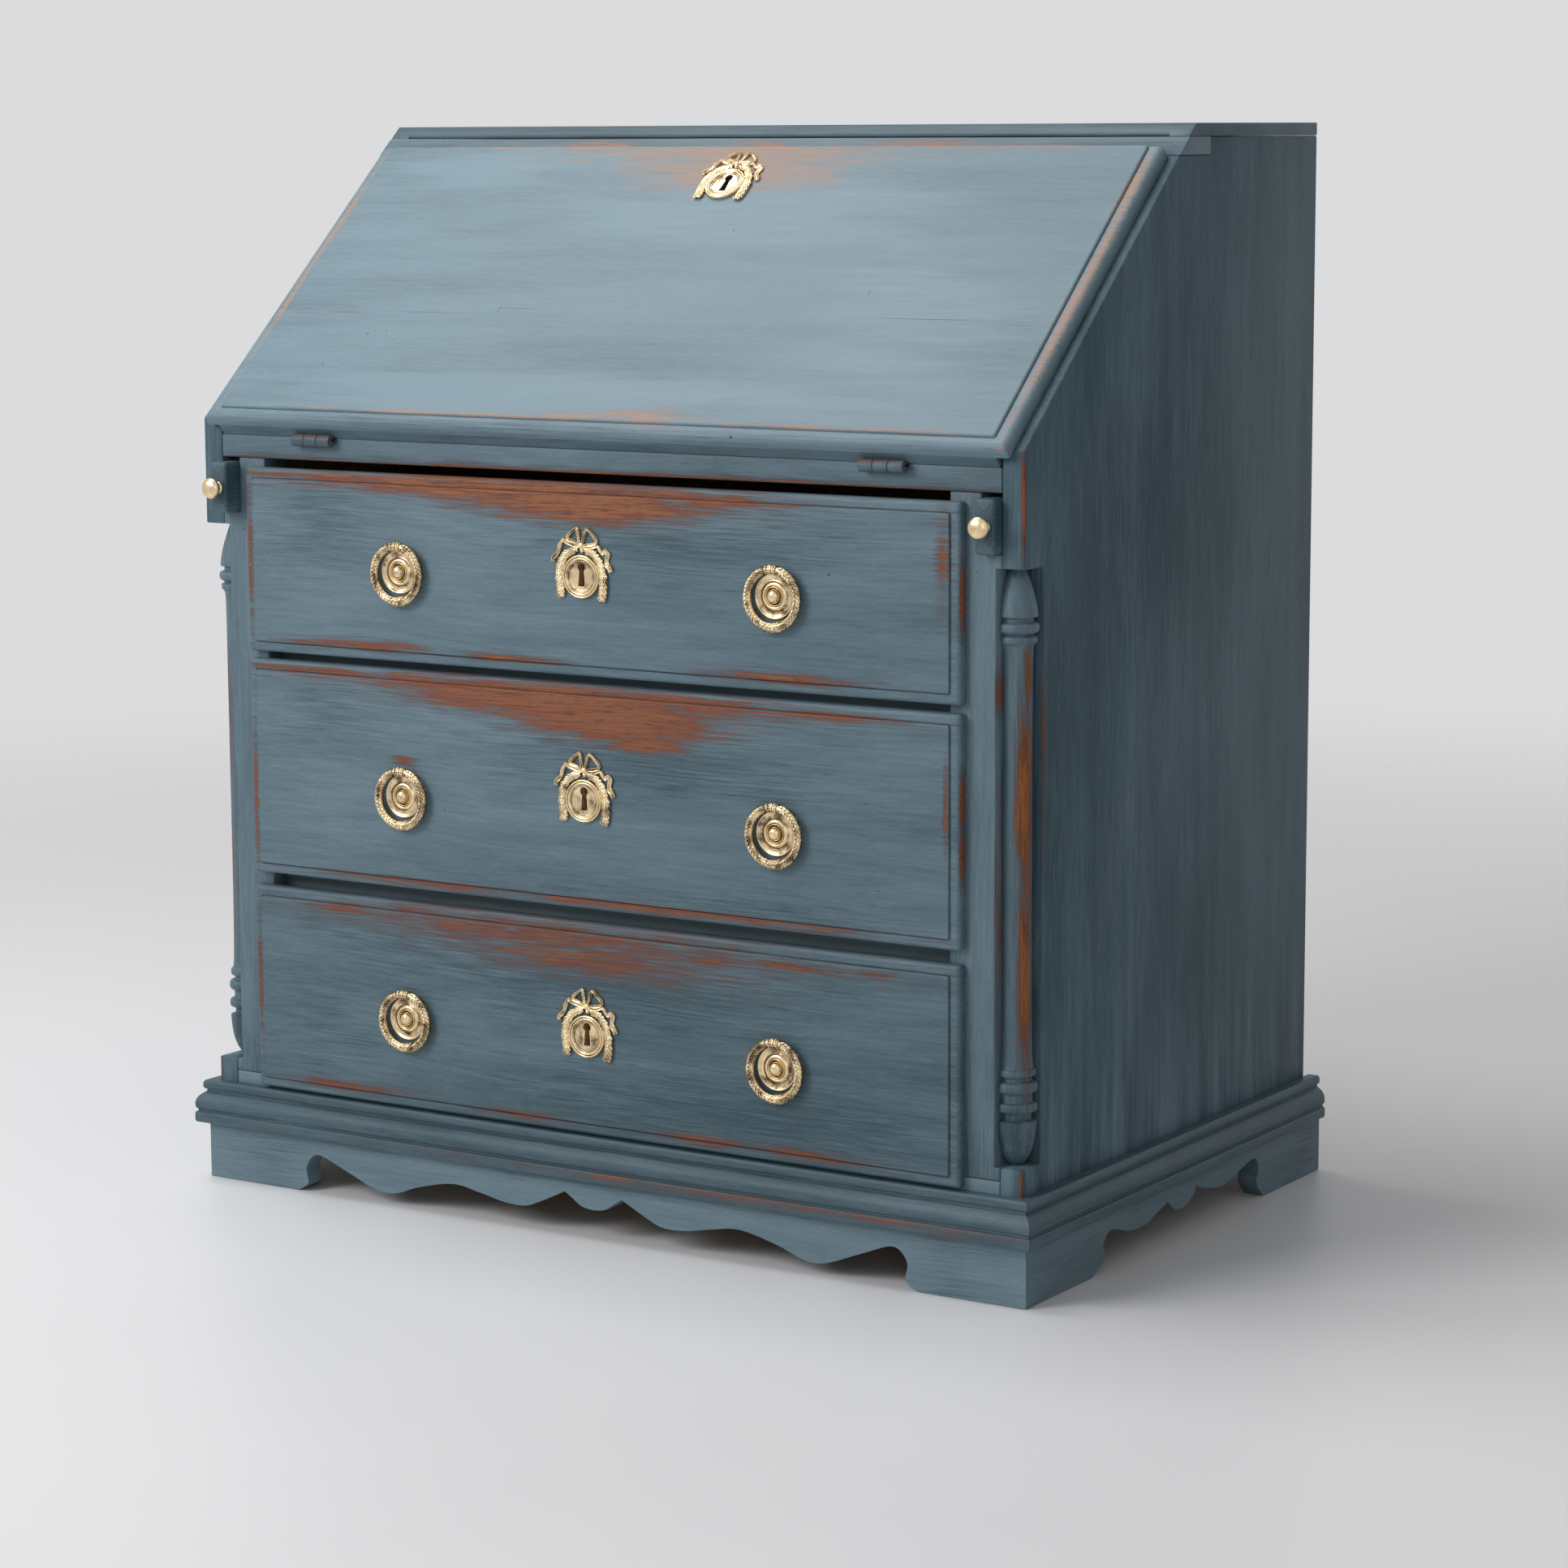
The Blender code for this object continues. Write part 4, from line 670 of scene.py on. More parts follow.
fit("base_moulding_front", closed_mesh(shape, "base_moulding_front", 30), "root", "blue_paint", [finish],
    "moulding_front")
for side, sign in SIDES.items():
    low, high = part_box(f"moulding_{side}")
    shape = bmesh.new()
    loft(shape, ([(sign * (0.45 + out), case_front - out + SEAM, z) for out, z in section],
                 [(sign * (0.45 + out), high.y, z) for out, z in section]))
    finish = painted_wood(
        f"moulding_paint_{side}", (sign * 0.46, 0, low.z), BACKWARD, UP, wax_and_shade=MOULDING_WAX_AND_SHADE, tone=-0.16)
    fit(f"base_moulding_{side}", closed_mesh(shape, f"base_moulding_{side}", 30), "root", "blue_paint",
        [finish], f"moulding_{side}")


# Top board and slope rail: the rail closes the slope above the fall and takes its bolt. The top's front
# edge is hollowed between two blocks that are left flush at its ends.
SLOPE = math.radians(41.218)
ALONG = (0, math.cos(SLOPE), math.sin(SLOPE))
# The top's low tone is painted shade; the darker band across it is dark wax and painted shade
finish = painted_wood(
    "top_paint", (0, 0, 1.018), RIGHT, BACKWARD,
    worn=((0.15, -0.01, 0.25, 0.010, 0.35),), wax_and_shade=((0, 0.04, 0.5, 0.02, 0.5),), tone=-0.19)
fit_board("top_board_wood", "top_board", 0.0016, "root", "blue_paint", finish, steps=3)
low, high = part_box("slope_rail")
# Its worn wood is paled by a painted sheen, as on the fall; its dark ends are dark wax and painted shade
finish = painted_wood(
    "slope_rail_paint", (0, low.y, low.z), RIGHT, ALONG,
    worn=((-0.185, 0.012, 0.05, 0.010, 1.0), (0.005, 0.012, 0.035, 0.010, 0.9),
          (0.165, 0.012, 0.07, 0.010, 1.0), (-0.30, 0.004, 0.08, 0.004, 0.5),
          (0.29, 0.004, 0.07, 0.005, 0.6)),
    wax_and_shade=((0.36, 0.012, 0.09, 0.012, 0.7), (-0.38, 0.012, 0.08, 0.012, 0.6)), tone=0.05, painted_sheen=0.45)
fit_board("slope_rail_wood", "slope_rail", 0.0009, "root", "blue_paint", finish)


# Pigeonholes: thin shelves and uprights of bare pine, notched together into one rack. It stands on the
# writing board behind the fall.
finish = bare_pine("pigeonhole_pine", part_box("pigeonholes")[0], RIGHT, UP, 0.35)
fit_board("pigeonhole_rack", "pigeonholes", 0.0008, "root", "bare_pine", finish)


# Lopers: bars of painted pine that draw out to carry the open fall. Each is pulled by a small cast brass
# knob on its front end.
BRASS_BRIGHT = (0.800, 0.630, 0.385)
BRASS_DULL = (0.072, 0.042, 0.020)
KNOB_ROUND = 40
KNOB_SHARES = (
    (0.62, 0.0), (0.62, 0.07), (0.54, 0.13), (0.43, 0.20), (0.42, 0.27), (0.52, 0.33), (0.72, 0.39),
    (0.90, 0.49), (0.985, 0.60), (0.985, 0.72), (0.90, 0.83), (0.74, 0.91), (0.50, 0.965), (0.24, 0.99),
    (0.05, 1.0),
)


def aged_brass(name):
    """Cast brass, polished where it stands out and brown in its hollows; the mesh says which is which."""
    made, tree, shader = new_finish(name)
    place = laid(tree, (0, 0, 0), RIGHT, UP)
    marks = add(tree, "ShaderNodeAttribute", attribute_name="stands_out")
    patch = cloud(tree, place, (110, 110, 110), 4)
    fine = cloud(tree, place, (900, 900, 900), 2)
    wear = calc(tree, "MULTIPLY_ADD", patch, 1.6, calc(tree, "MULTIPLY_ADD", fine, 0.45, -1.03))
    bright = ramp(tree, calc(tree, "ADD", wear, marks.outputs["Fac"]), 0.12, 0.82)
    shader.inputs["Metallic"].default_value = 1.0
    roughness = calc(tree, "MULTIPLY_ADD", fine, 0.14, ramp(tree, bright, 0, 1, 0.50, 0.17))
    coat(tree, shader, mixed(tree, bright, BRASS_DULL, BRASS_BRIGHT), roughness,
         calc(tree, "ADD", patch, fine), 0.0002, 0.25)
    return made


def mark_hollows(mesh, base=0.5, gain=2.2):
    """Writes on each point how far it stands out of its neighbours: 1 on ridges, 0 in hollows."""
    total = [0.0] * len(mesh.vertices)
    count = [0] * len(mesh.vertices)
    for edge in mesh.edges:
        one, two = (mesh.vertices[i] for i in edge.vertices)
        run = two.co - one.co
        if run.length > 1e-9:
            run.normalize()
            total[one.index] -= one.normal.dot(run)
            total[two.index] += two.normal.dot(run)
            count[one.index] += 1
            count[two.index] += 1
    marks = mesh.attributes.get("stands_out") or mesh.attributes.new("stands_out", "FLOAT", "POINT")
    for i, value in enumerate(total):
        marks.data[i].value = min(1.0, max(0.0, base + gain * value / max(count[i], 1)))
    return mesh


BRASS = aged_brass("brass")
for side in SIDES:
    low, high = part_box(f"loper_{side}")
    # The dark patch round the knob is dark wax and painted shade
    finish = painted_wood(
        f"loper_paint_{side}", (low.x, low.y, low.z), BACKWARD, UP,
        wax_and_shade=((0, 0.024, 0.03, 0.03, 0.9),), tone=-0.14)
    fit_board(f"loper_bar_{side}", f"loper_{side}", 0.0028, f"loper_{side}", "blue_paint", finish, steps=3)
    low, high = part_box(f"loper_knob_{side}")
    middle, radius = (low + high) / 2, (high.z - low.z) / 2
    shape = bmesh.new()
    turned_into(shape, profile_of(KNOB_SHARES, radius, high.y, low.y, 2), KNOB_ROUND,
                lambda a, b, along: (middle.x + a, along, middle.z + b))
    knob = mark_hollows(closed_mesh(shape, f"knob_{side}", 60), 0.75)
    fit(f"knob_{side}", knob, f"loper_{side}", "brass", [BRASS], f"loper_knob_{side}")


# Drawers: each front is one thick pine board whose lip laps over the frame, with a thumbnail round on the
# lip and a raised field on its face. Behind it is a bare pine box and an iron lock with its bolt.
LIP = 0.010
LIP_ROUND = 0.0045
FIELD = 0.002
BORDER = 0.010
RUN = 0.001
BODY_HALF = 0.376
LIP_STEPS = 5
KEY_HEAD = 0.0042
KEY_NECK = 0.0026
KEY_FOOT = 0.0036
KEY_HIGH = 0.0217
KEY_STEPS = 20
BOARD_CORNER = 0.0008
LIP_CORNER = 0.003
FIELD_CORNER = 0.002
# The raised field's edge: how far in past the border, and how far out; a scratched line, then the round
FIELD_EDGE = ((-0.0010, 0.0), (-0.0009, -0.0009), (-0.0001, -0.0009), (0.0002, 0.0013), (0.0006, 0.0018),
              (0.0014, 0.0020))
CUT_PAST = 0.004
# Painted shade in and round a keyhole: half as long, half as wide, and how strong
KEY_SHADE = (0.011, 0.017, 3)
DRAWERS = ("top", "middle", "bottom")
KEY_SHARES = {"top": 0.5328, "middle": 0.4969, "bottom": 0.4786}


def rounded(left, right, low, high, radius, steps=4):
    """A rectangle with rounded corners, as many points whatever its size."""
    points = []
    for x, z, start in ((right - radius, high - radius, 0), (left + radius, high - radius, 90),
                        (left + radius, low + radius, 180), (right - radius, low + radius, 270)):
        for step in range(steps + 1):
            angle = math.radians(start + 90 * step / steps)
            points.append((x + radius * math.cos(angle), z + radius * math.sin(angle)))
    return points


def quarter_round(radius, steps):
    """How far in and how far back each step of a rounded edge is."""
    angles = [math.pi / 2 * step / steps for step in range(steps + 1)]
    return [(radius * (1 - math.cos(angle)), radius * (1 - math.sin(angle))) for angle in angles]


def stepped(shape, loops, place):
    """Closes a form through loops, each an outline and how far out it is."""
    loft(shape, [[place(x, z, out) for x, z in outline] for outline, out in loops])


def keyhole_outline():
    """A round head over a flared slot."""
    head = KEY_HIGH / 2 - KEY_HEAD
    outline = []
    for step in range(KEY_STEPS + 1):
        angle = math.radians(-50 + 280 * step / KEY_STEPS)
        outline.append((KEY_HEAD * math.cos(angle), head + KEY_HEAD * math.sin(angle)))
    return outline + [
        (-KEY_NECK, head - KEY_HEAD), (-KEY_FOOT, -KEY_HIGH / 2), (KEY_FOOT, -KEY_HIGH / 2),
        (KEY_NECK, head - KEY_HEAD)]


def carve(mesh, *cutters):
    """Takes closed shapes out of a mesh."""
    holder = placed("carved", mesh)
    tools = [placed("cutter", closed_mesh(cutter, "cutter")) for cutter in cutters]
    for tool in tools:
        step = holder.modifiers.new("cut", "BOOLEAN")
        step.operation, step.solver, step.object = "DIFFERENCE", "EXACT", tool
    carved = result_of(holder)
    for tool in tools:
        bpy.data.objects.remove(tool)
    return shaded(carved)


def bar_cutter(low, high, place):
    """A rectangular cutter between two corners."""
    shape = bmesh.new()
    for vert in box_into(shape, low, high):
        vert.co = place(*vert.co)
    return shape


def key_cutter(near, far, place):
    """A cutter of the keyhole's outline."""
    shape = bmesh.new()
    stepped(shape, ((keyhole_outline(), near), (keyhole_outline(), far)), place)
    return shape


DRAWER_WORN = {
    "top": (
        (-0.07, -0.009, 0.25, 0.012, 1.4), (0.0, -0.016, 0.15, 0.020, 1.6),
        (0.01, -0.024, 0.075, 0.014, 1.4), (-0.29, -0.005, 0.10, 0.004, 1.0),
        (0.15, -0.010, 0.08, 0.005, 1.0), (-0.26, -0.162, 0.07, 0.005, 0.8),
        (-0.09, -0.164, 0.05, 0.004, 0.8), (0.21, -0.163, 0.07, 0.005, 0.8),
        (0.3925, -0.082, 0.0010, 0.032, 1.2), (0.3770, -0.050, 0.0050, 0.026, 0.5),
        (-0.388, -0.08, 0.003, 0.06, 0.8),
    ),
    "middle": (
        (-0.02, -0.011, 0.26, 0.010, 1.4), (-0.03, -0.018, 0.19, 0.018, 1.6),
        (0.03, -0.030, 0.125, 0.022, 1.7), (0.065, -0.050, 0.045, 0.009, 1.2),
        (-0.31, -0.007, 0.08, 0.004, 0.9), (0.25, -0.011, 0.08, 0.004, 0.9),
        (0.10, -0.200, 0.18, 0.004, 0.9), (-0.18, -0.200, 0.11, 0.003, 0.6),
        (0.3925, -0.075, 0.0010, 0.024, 1.2), (0.3925, -0.125, 0.0010, 0.024, 1.1),
        (0.3800, -0.082, 0.0024, 0.030, 0.8), (-0.388, -0.13, 0.003, 0.05, 0.8),
        (-0.207, -0.086, 0.012, 0.005, 0.8),
    ),
    "bottom": (
        (-0.278, -0.014, 0.045, 0.005, 0.8), (-0.05, -0.016, 0.20, 0.014, 0.7),
        (0.0, -0.034, 0.12, 0.014, 0.7), (0.135, -0.022, 0.03, 0.006, 0.8),
        (0.22, -0.018, 0.05, 0.004, 0.7), (0.31, -0.016, 0.02, 0.004, 0.7),
        (-0.28, -0.186, 0.06, 0.005, 1.0), (-0.075, -0.189, 0.045, 0.004, 0.8),
        (0.125, -0.188, 0.045, 0.005, 0.9), (0.24, -0.188, 0.06, 0.005, 1.0),
        (-0.388, -0.09, 0.003, 0.05, 0.9),
    ),
}
# Darker patches on each front, dark wax and painted shade: the left ends and the low band on the bottom
# drawer are painted shade
DRAWER_WAX_AND_SHADE = {
    "top": ((0.10, -0.05, 0.30, 0.04, 0.7), (-0.30, -0.05, 0.10, 0.06, 0.8)),
    "middle": ((0.05, -0.07, 0.30, 0.04, 0.8), (-0.30, -0.05, 0.09, 0.05, 0.6), (0.2, -0.19, 0.2, 0.02, 0.5)),
    "bottom": ((-0.05, -0.05, 0.34, 0.06, 0.9), (0.15, -0.16, 0.34, 0.05, 0.8),
               (-0.3, -0.12, 0.1, 0.08, 0.6)),
}
DRAWER_DENTS = {
    "top": ((0.262, -0.069, 0.0016, 0.0012, 1.0), (-0.216, -0.123, 0.0010, 0.0010, 1.0)),
    "middle": ((0.300, -0.085, 0.0012, 0.0010, 1.0), (0.312, -0.161, 0.0010, 0.0010, 1.0),
               (0.078, -0.092, 0.0004, 0.0035, 0.9), (-0.16, -0.128, 0.0010, 0.0010, 0.9)),
    "bottom": ((-0.10, -0.07, 0.0010, 0.0010, 0.9),),
}
DRAWER_TONE = {"top": 0.05, "middle": 0.03, "bottom": -0.09}
DRAWER_WOODS = {"top": (WOOD_RED, WOOD_TAN), "middle": (WOOD_RED, (0.235, 0.085, 0.038)),
                "bottom": ((0.130, 0.048, 0.032), (0.200, 0.080, 0.042))}
for name in DRAWERS:
    low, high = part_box(f"drawer_{name}_front")
    tall, key_z = high.z - low.z, low.z + (high.z - low.z) * KEY_SHARES[name]
    face, lip_back = low.y + FIELD, low.y + FIELD + LIP
    body_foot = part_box(f"drawer_{name}_box")[0].z + RUN - SEAM
    body_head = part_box(f"drawer_{name}_lock")[1].z

    def outline(inset, corner):
        return rounded(low.x + inset, high.x - inset, low.z + inset, high.z - inset, corner)

    block = rounded(-BODY_HALF, BODY_HALF, body_foot, body_head, BOARD_CORNER)
    loops = [(block, high.y), (block, lip_back), (outline(0, LIP_CORNER), lip_back)]
    for inset, back in quarter_round(LIP_ROUND, LIP_STEPS):
        loops.append((outline(inset, LIP_CORNER), face + back))
    for inset, forward in FIELD_EDGE:
        loops.append((outline(BORDER + inset, FIELD_CORNER), face - forward))
    shape = bmesh.new()
    stepped(shape, loops, lambda x, z, out: (x, out, z))
    board = carve(closed_mesh(shape, f"drawer_{name}_board"), key_cutter(
        low.y - CUT_PAST, high.y + CUT_PAST, lambda x, z, out: (x, out, key_z + z)))
    # The dark lines along the field's top and foot are painted shade in its edge, and the keyhole gets
    # painted shade
    paint = painted_wood(
        f"drawer_{name}_paint", (0, low.y, high.z), RIGHT, UP, worn=DRAWER_WORN[name],
        wax_and_shade=(*DRAWER_WAX_AND_SHADE[name], (0, -BORDER, 0.5, 0.0018, 0.9), (0, BORDER - tall, 0.5, 0.0018, 0.9)),
        dents_and_shade=(*DRAWER_DENTS[name], (0, key_z - high.z, *KEY_SHADE)), tone=DRAWER_TONE[name],
        woods=DRAWER_WOODS[name])
    pine = bare_pine(f"drawer_{name}_pine", (0, high.y, low.z), RIGHT, UP, 0.4)
    fit(f"drawer_{name}_board", board, f"drawer_{name}", "blue_paint", [paint, pine], f"drawer_{name}_front")
    for polygon in board.polygons:
        polygon.material_index = int(polygon.center.y > lip_back - 0.0002)
    box_pine = bare_pine(f"drawer_{name}_box_pine", (0, high.y, low.z), BACKWARD, UP, 0.35)
    fit_board(f"drawer_{name}_case", f"drawer_{name}_box", 0.0009, f"drawer_{name}", "bare_pine", box_pine)
    fit_board(f"drawer_{name}_lock_case", f"drawer_{name}_lock", 0.0005, f"drawer_{name}", "iron", IRON)
    fit_board(f"drawer_{name}_lock_bolt", f"drawer_{name}_bolt", 0.0005, f"drawer_{name}_bolt", "iron", IRON)


# Ring pulls: a pressed brass rosette with a boss, and an eye at its top that holds a cast ring. The ring is
# a wreath of small laurel leaves that grow down both sides and meet under a ribbon wound round the bottom.
ROSETTE = 0.0205
ROSETTE_HIGH = 0.0075
ROSETTE_ROUND = 56
ROSETTE_SHARES = (
    (1.0, 0.0), (1.0, 0.16), (0.985, 0.26), (0.955, 0.29), (0.925, 0.25), (0.88, 0.19), (0.80, 0.135),
    (0.72, 0.12), (0.665, 0.155), (0.63, 0.24), (0.585, 0.34), (0.53, 0.39), (0.49, 0.38), (0.47, 0.32),
    (0.460, 0.22), (0.447, 0.22), (0.435, 0.33), (0.415, 0.385), (0.393, 0.33), (0.382, 0.22), (0.36, 0.20),
    (0.335, 0.25), (0.32, 0.38), (0.30, 0.54), (0.26, 0.73), (0.20, 0.89), (0.12, 0.975), (0.03, 1.0),
)
RING = 0.0255
RING_CORE = 0.0034
RING_DROP = 0.0016
RING_OUT = 0.0056
RING_NECK = 0.0024
NECK_HALF = 0.004
EYE = 0.0046
EYE_HALF = 0.0035
LEAF_LONG = 0.0058
LEAF_WIDE = 0.0031
LEAF_THICK = 0.0009
LEAF_SECTIONS = 4
EYE_LEAVES = 11
TIE_TURNS = (-0.17, -0.057, 0.057, 0.17)
BAND_ROUND = 14
EYE_ROUND = 24
LEAVES_LARGE_AND_SMALL = (0.86, 1.12)


def leaf_mesh(name, long, wide, thick):
    """A pointed leaf along +X, its back on the plane and its midrib towards +Z; the tip stands up."""
    shape = bmesh.new()
    rings = []
    for i in range(LEAF_SECTIONS):
        t = 0.10 + 0.78 * i / (LEAF_SECTIONS - 1)
        half = wide / 2 * math.sin(math.pi * t ** 0.85) ** 0.8
        lift = thick * 0.9 * t
        rise = thick * (0.55 + 0.45 * math.sin(math.pi * t))
        section = ((-half, lift), (-half * 0.55, lift + rise * 0.70), (0, lift + rise),
                   (half * 0.55, lift + rise * 0.70), (half, lift), (0, lift - thick * 0.3))
        rings.append([shape.verts.new((long * t, across, up)) for across, up in section])
    close_round(shape, rings, [shape.verts.new((0, 0, 0)), shape.verts.new((long, 0, thick * 1.15))])
    mesh = closed_mesh(shape, name, 60)
    marks = mesh.attributes.new("stands_out", "FLOAT", "POINT")
    for vert in mesh.vertices:
        ridge = 1 - min(1, abs(vert.co.y) / (wide / 2))
        marks.data[vert.index].value = 0.25 * vert.co.x / long + 0.65 * ridge
    return mesh


def turned(tree, forward, outward):
    """A turn that lays X one way and leans Z another."""
    return add(tree, "FunctionNodeAxesToRotation", {"Primary Axis": forward, "Secondary Axis": outward},
               primary_axis="X", secondary_axis="Z").outputs["Rotation"]


def chance_of(tree, given, low, high):
    return add(tree, "FunctionNodeRandomValue", {2: low, 3: high, "Seed": given["Seed"]},
               data_type="FLOAT").outputs[1]


def wreath_tree(sizes):
    """Leaves round a ring in the plane y = 0, in rows round its tube, growing down both sides."""
    tree, given = tree_with("laurel_wreath", sizes)
    points = add(tree, "GeometryNodePoints", {
        "Count": calc(tree, "MULTIPLY", given["Stations"], given["Rows"])})
    index = add(tree, "GeometryNodeInputIndex").outputs[0]
    station = calc(tree, "FLOOR", calc(tree, "DIVIDE", calc(tree, "ADD", index, 0.01), given["Rows"]))
    row = calc(tree, "SUBTRACT", index, calc(tree, "MULTIPLY", station, given["Rows"]))
    # Every other row starts half a leaf further on, and leans to the other side
    odd = calc(tree, "PINGPONG", row, 1.0)
    further = calc(tree, "MULTIPLY_ADD", odd, 0.5, calc(tree, "ADD", station, 0.25))
    theta = calc(tree, "MULTIPLY", calc(tree, "DIVIDE", further, given["Stations"]), 2 * math.pi)
    psi = calc(tree, "MULTIPLY", calc(tree, "DIVIDE", row, given["Rows"]), 2 * math.pi)
    sin_t, cos_t = calc(tree, "SINE", theta), calc(tree, "COSINE", theta)
    radial = vector_of(tree, x=sin_t, z=cos_t)
    normal = vector_calc(
        tree, "ADD", scaled(tree, radial, calc(tree, "SINE", psi)),
        vector_of(tree, y=calc(tree, "MULTIPLY", calc(tree, "COSINE", psi), -1.0)))
    where = vector_calc(
        tree, "ADD", scaled(tree, radial, given["Ring radius"]), scaled(tree, normal, given["Tube radius"]))
    tangent = vector_of(tree, x=cos_t, z=calc(tree, "MULTIPLY", sin_t, -1.0))
    tangent = scaled(tree, tangent, calc(tree, "SIGN", sin_t))
    lean = calc(tree, "MULTIPLY", calc(tree, "MULTIPLY_ADD", odd, 2.0, -1.0), given["Splay"])
    aside = vector_calc(tree, "CROSS_PRODUCT", normal, tangent)
    tangent = vector_calc(tree, "ADD", tangent, scaled(tree, aside, lean))
    place = add(tree, "GeometryNodeSetPosition", {"Geometry": points.outputs[0], "Position": where})
    # The top, where the eye holds the ring, stays free of leaves
    free = calc(tree, "LESS_THAN", cos_t, calc(tree, "COSINE", given["Bare half angle"]))
    return settle(tree, given, {
        "Points": place.outputs["Geometry"], "Instance": given["Geometry"], "Selection": free,
        "Rotation": turned(tree, tangent, normal), "Scale": chance_of(tree, given, *LEAVES_LARGE_AND_SMALL)})


def closed_tube(shape, loops):
    """Joins loops of points round a tube that runs back into itself."""
    rings = [[shape.verts.new(point) for point in loop] for loop in loops]
    for one, two in zip(rings, rings[1:] + rings[:1]):
        for i in range(len(one)):
            j = (i + 1) % len(one)
            shape.faces.new((one[i], one[j], two[j], two[i]))


def ring_core(shape, around=72, tube=12):
    """The ring under its leaves: a round bar, thin and straight at the top where it turns in its eye."""
    bends = [2 * math.pi * i / tube for i in range(tube)]
    loops = [[(end, RING_NECK * math.sin(bend), RING + RING_NECK * math.cos(bend)) for bend in bends]
             for end in (-NECK_HALF, NECK_HALF)]
    start = math.asin(NECK_HALF / RING) + 0.02
    for turn in range(around + 1):
        angle = start + (2 * math.pi - 2 * start) * turn / around
        loop = []
        for bend in bends:
            out = RING + RING_CORE * math.cos(bend)
            loop.append((out * math.sin(angle), RING_CORE * math.sin(bend), out * math.cos(angle)))
        loops.append(loop)
    closed_tube(shape, loops)


def moved(mesh, matrix):
    copy = mesh.copy()
    copy.transform(matrix)
    return copy


def joined(name, angle, *meshes):
    """Finished meshes as one, marks and all."""
    shape = bmesh.new()
    for mesh in meshes:
        shape.from_mesh(mesh)
    return mesh_of(shape, name, angle)


def band_into(shape, angle, width, radius, slant=0.0):
    """A raised band tied round the ring at an angle from its top, square to it or on the slant."""
    centre = Vector((RING * math.sin(angle), 0, RING * math.cos(angle)))
    along = Vector((math.cos(angle), 0, -math.sin(angle)))
    radial = Vector((math.sin(angle), 0, math.cos(angle)))
    profile = [(radius * 0.8, -width / 2), (radius, -width * 0.4), (radius * 1.06, 0), (radius, width * 0.4),
               (radius * 0.8, width / 2)]
    turned_into(shape, profile, BAND_ROUND, lambda a, b, way: (
        centre + along * (way + slant * a) + radial * a + Vector((0, b, 0))))


wreath_sizes = {"Ring radius": RING, "Tube radius": RING_CORE * 0.88, "Stations": 44, "Rows": 8,
                "Bare half angle": 0.18, "Splay": 0.3, "Seed": 3}
wreath = grow(wreath_tree(wreath_sizes), leaf_mesh("laurel_leaf", LEAF_LONG, LEAF_WIDE, LEAF_THICK), BRASS,
              wreath_sizes)
shape = bmesh.new()
ring_core(shape)
for angle in (-0.176, 0.176):
    band_into(shape, angle, 0.0013, 0.0044)
for angle in TIE_TURNS:
    band_into(shape, math.pi + angle, 0.0019, 0.0044, 0.8)
ring_whole = joined("ring_whole", 60, mark_hollows(closed_mesh(shape, "ring_core", 60), 0.2), wreath)

shape = bmesh.new()
turned_into(shape, profile_of(ROSETTE_SHARES, ROSETTE, 0, -ROSETTE_HIGH, 2), ROSETTE_ROUND,
            lambda a, b, along: (a, along, b))
rosette_plate = mark_hollows(closed_mesh(shape, "rosette_plate", 60), 0.62, 3.0)
shape = bmesh.new()
eye_up = RING - RING_DROP
box_into(shape, (-0.003, -0.0022, ROSETTE * 0.9), (0.003, 0, eye_up + 0.0022))
bmesh.ops.bevel(shape, geom=shape.edges[:], offset=0.0006, segments=2, affect="EDGES")
rosette_neck = mark_hollows(closed_mesh(shape, "rosette_neck", 50), 0.4)
shape = bmesh.new()
inner, outer = RING_NECK + 0.0005, EYE - LEAF_THICK
eye_angles = [2 * math.pi * i / EYE_ROUND for i in range(EYE_ROUND)]
eye_profile = (
    (-EYE_HALF, inner), (-EYE_HALF, outer - 0.0005), (-EYE_HALF + 0.0006, outer), (-0.0007, outer),
    (-0.0005, outer + 0.0007), (0.0005, outer + 0.0007), (0.0007, outer), (EYE_HALF - 0.0006, outer),
    (EYE_HALF, outer - 0.0005), (EYE_HALF, inner))
closed_tube(shape, [[
    (x, -RING_OUT + radius * math.cos(angle), eye_up + radius * math.sin(angle)) for angle in eye_angles]
    for x, radius in eye_profile])
rosette_eye = mark_hollows(closed_mesh(shape, "rosette_eye", 50), 0.4)
eye_leaf = leaf_mesh("eye_leaf", EYE_HALF * 0.88, EYE_HALF * 0.75, LEAF_THICK * 0.8)
eye_leaves = [
    moved(eye_leaf, Matrix.Translation((0, -RING_OUT, eye_up))
          @ Matrix.Rotation(2 * math.pi * (i + 0.5) / EYE_LEAVES, 4, "X")
          @ Matrix.Rotation(turn, 4, "Z") @ Matrix.Translation((0.0004, 0, outer - 0.0003)))
    for i in range(EYE_LEAVES) for turn in (0, math.pi)]
rosette_whole = joined("rosette_whole", 60, rosette_plate, rosette_neck, rosette_eye, *eye_leaves)

for name in DRAWERS:
    for side in SIDES:
        pull = f"{name}_{side}"
        low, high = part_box(f"rosette_{pull}")
        centre = Vector(((low.x + high.x) / 2, high.y, low.z + ROSETTE))
        fit(f"rosette_{pull}_brass", moved(rosette_whole, Matrix.Translation(centre)), f"drawer_{name}",
            "brass", [BRASS], f"rosette_{pull}")
        ring = moved(ring_whole, Matrix.Translation(centre + Vector((0, -RING_OUT, -RING_DROP))))
        fit(f"ring_{pull}_wreath", ring, f"ring_{pull}", "brass", [BRASS], f"ring_{pull}")


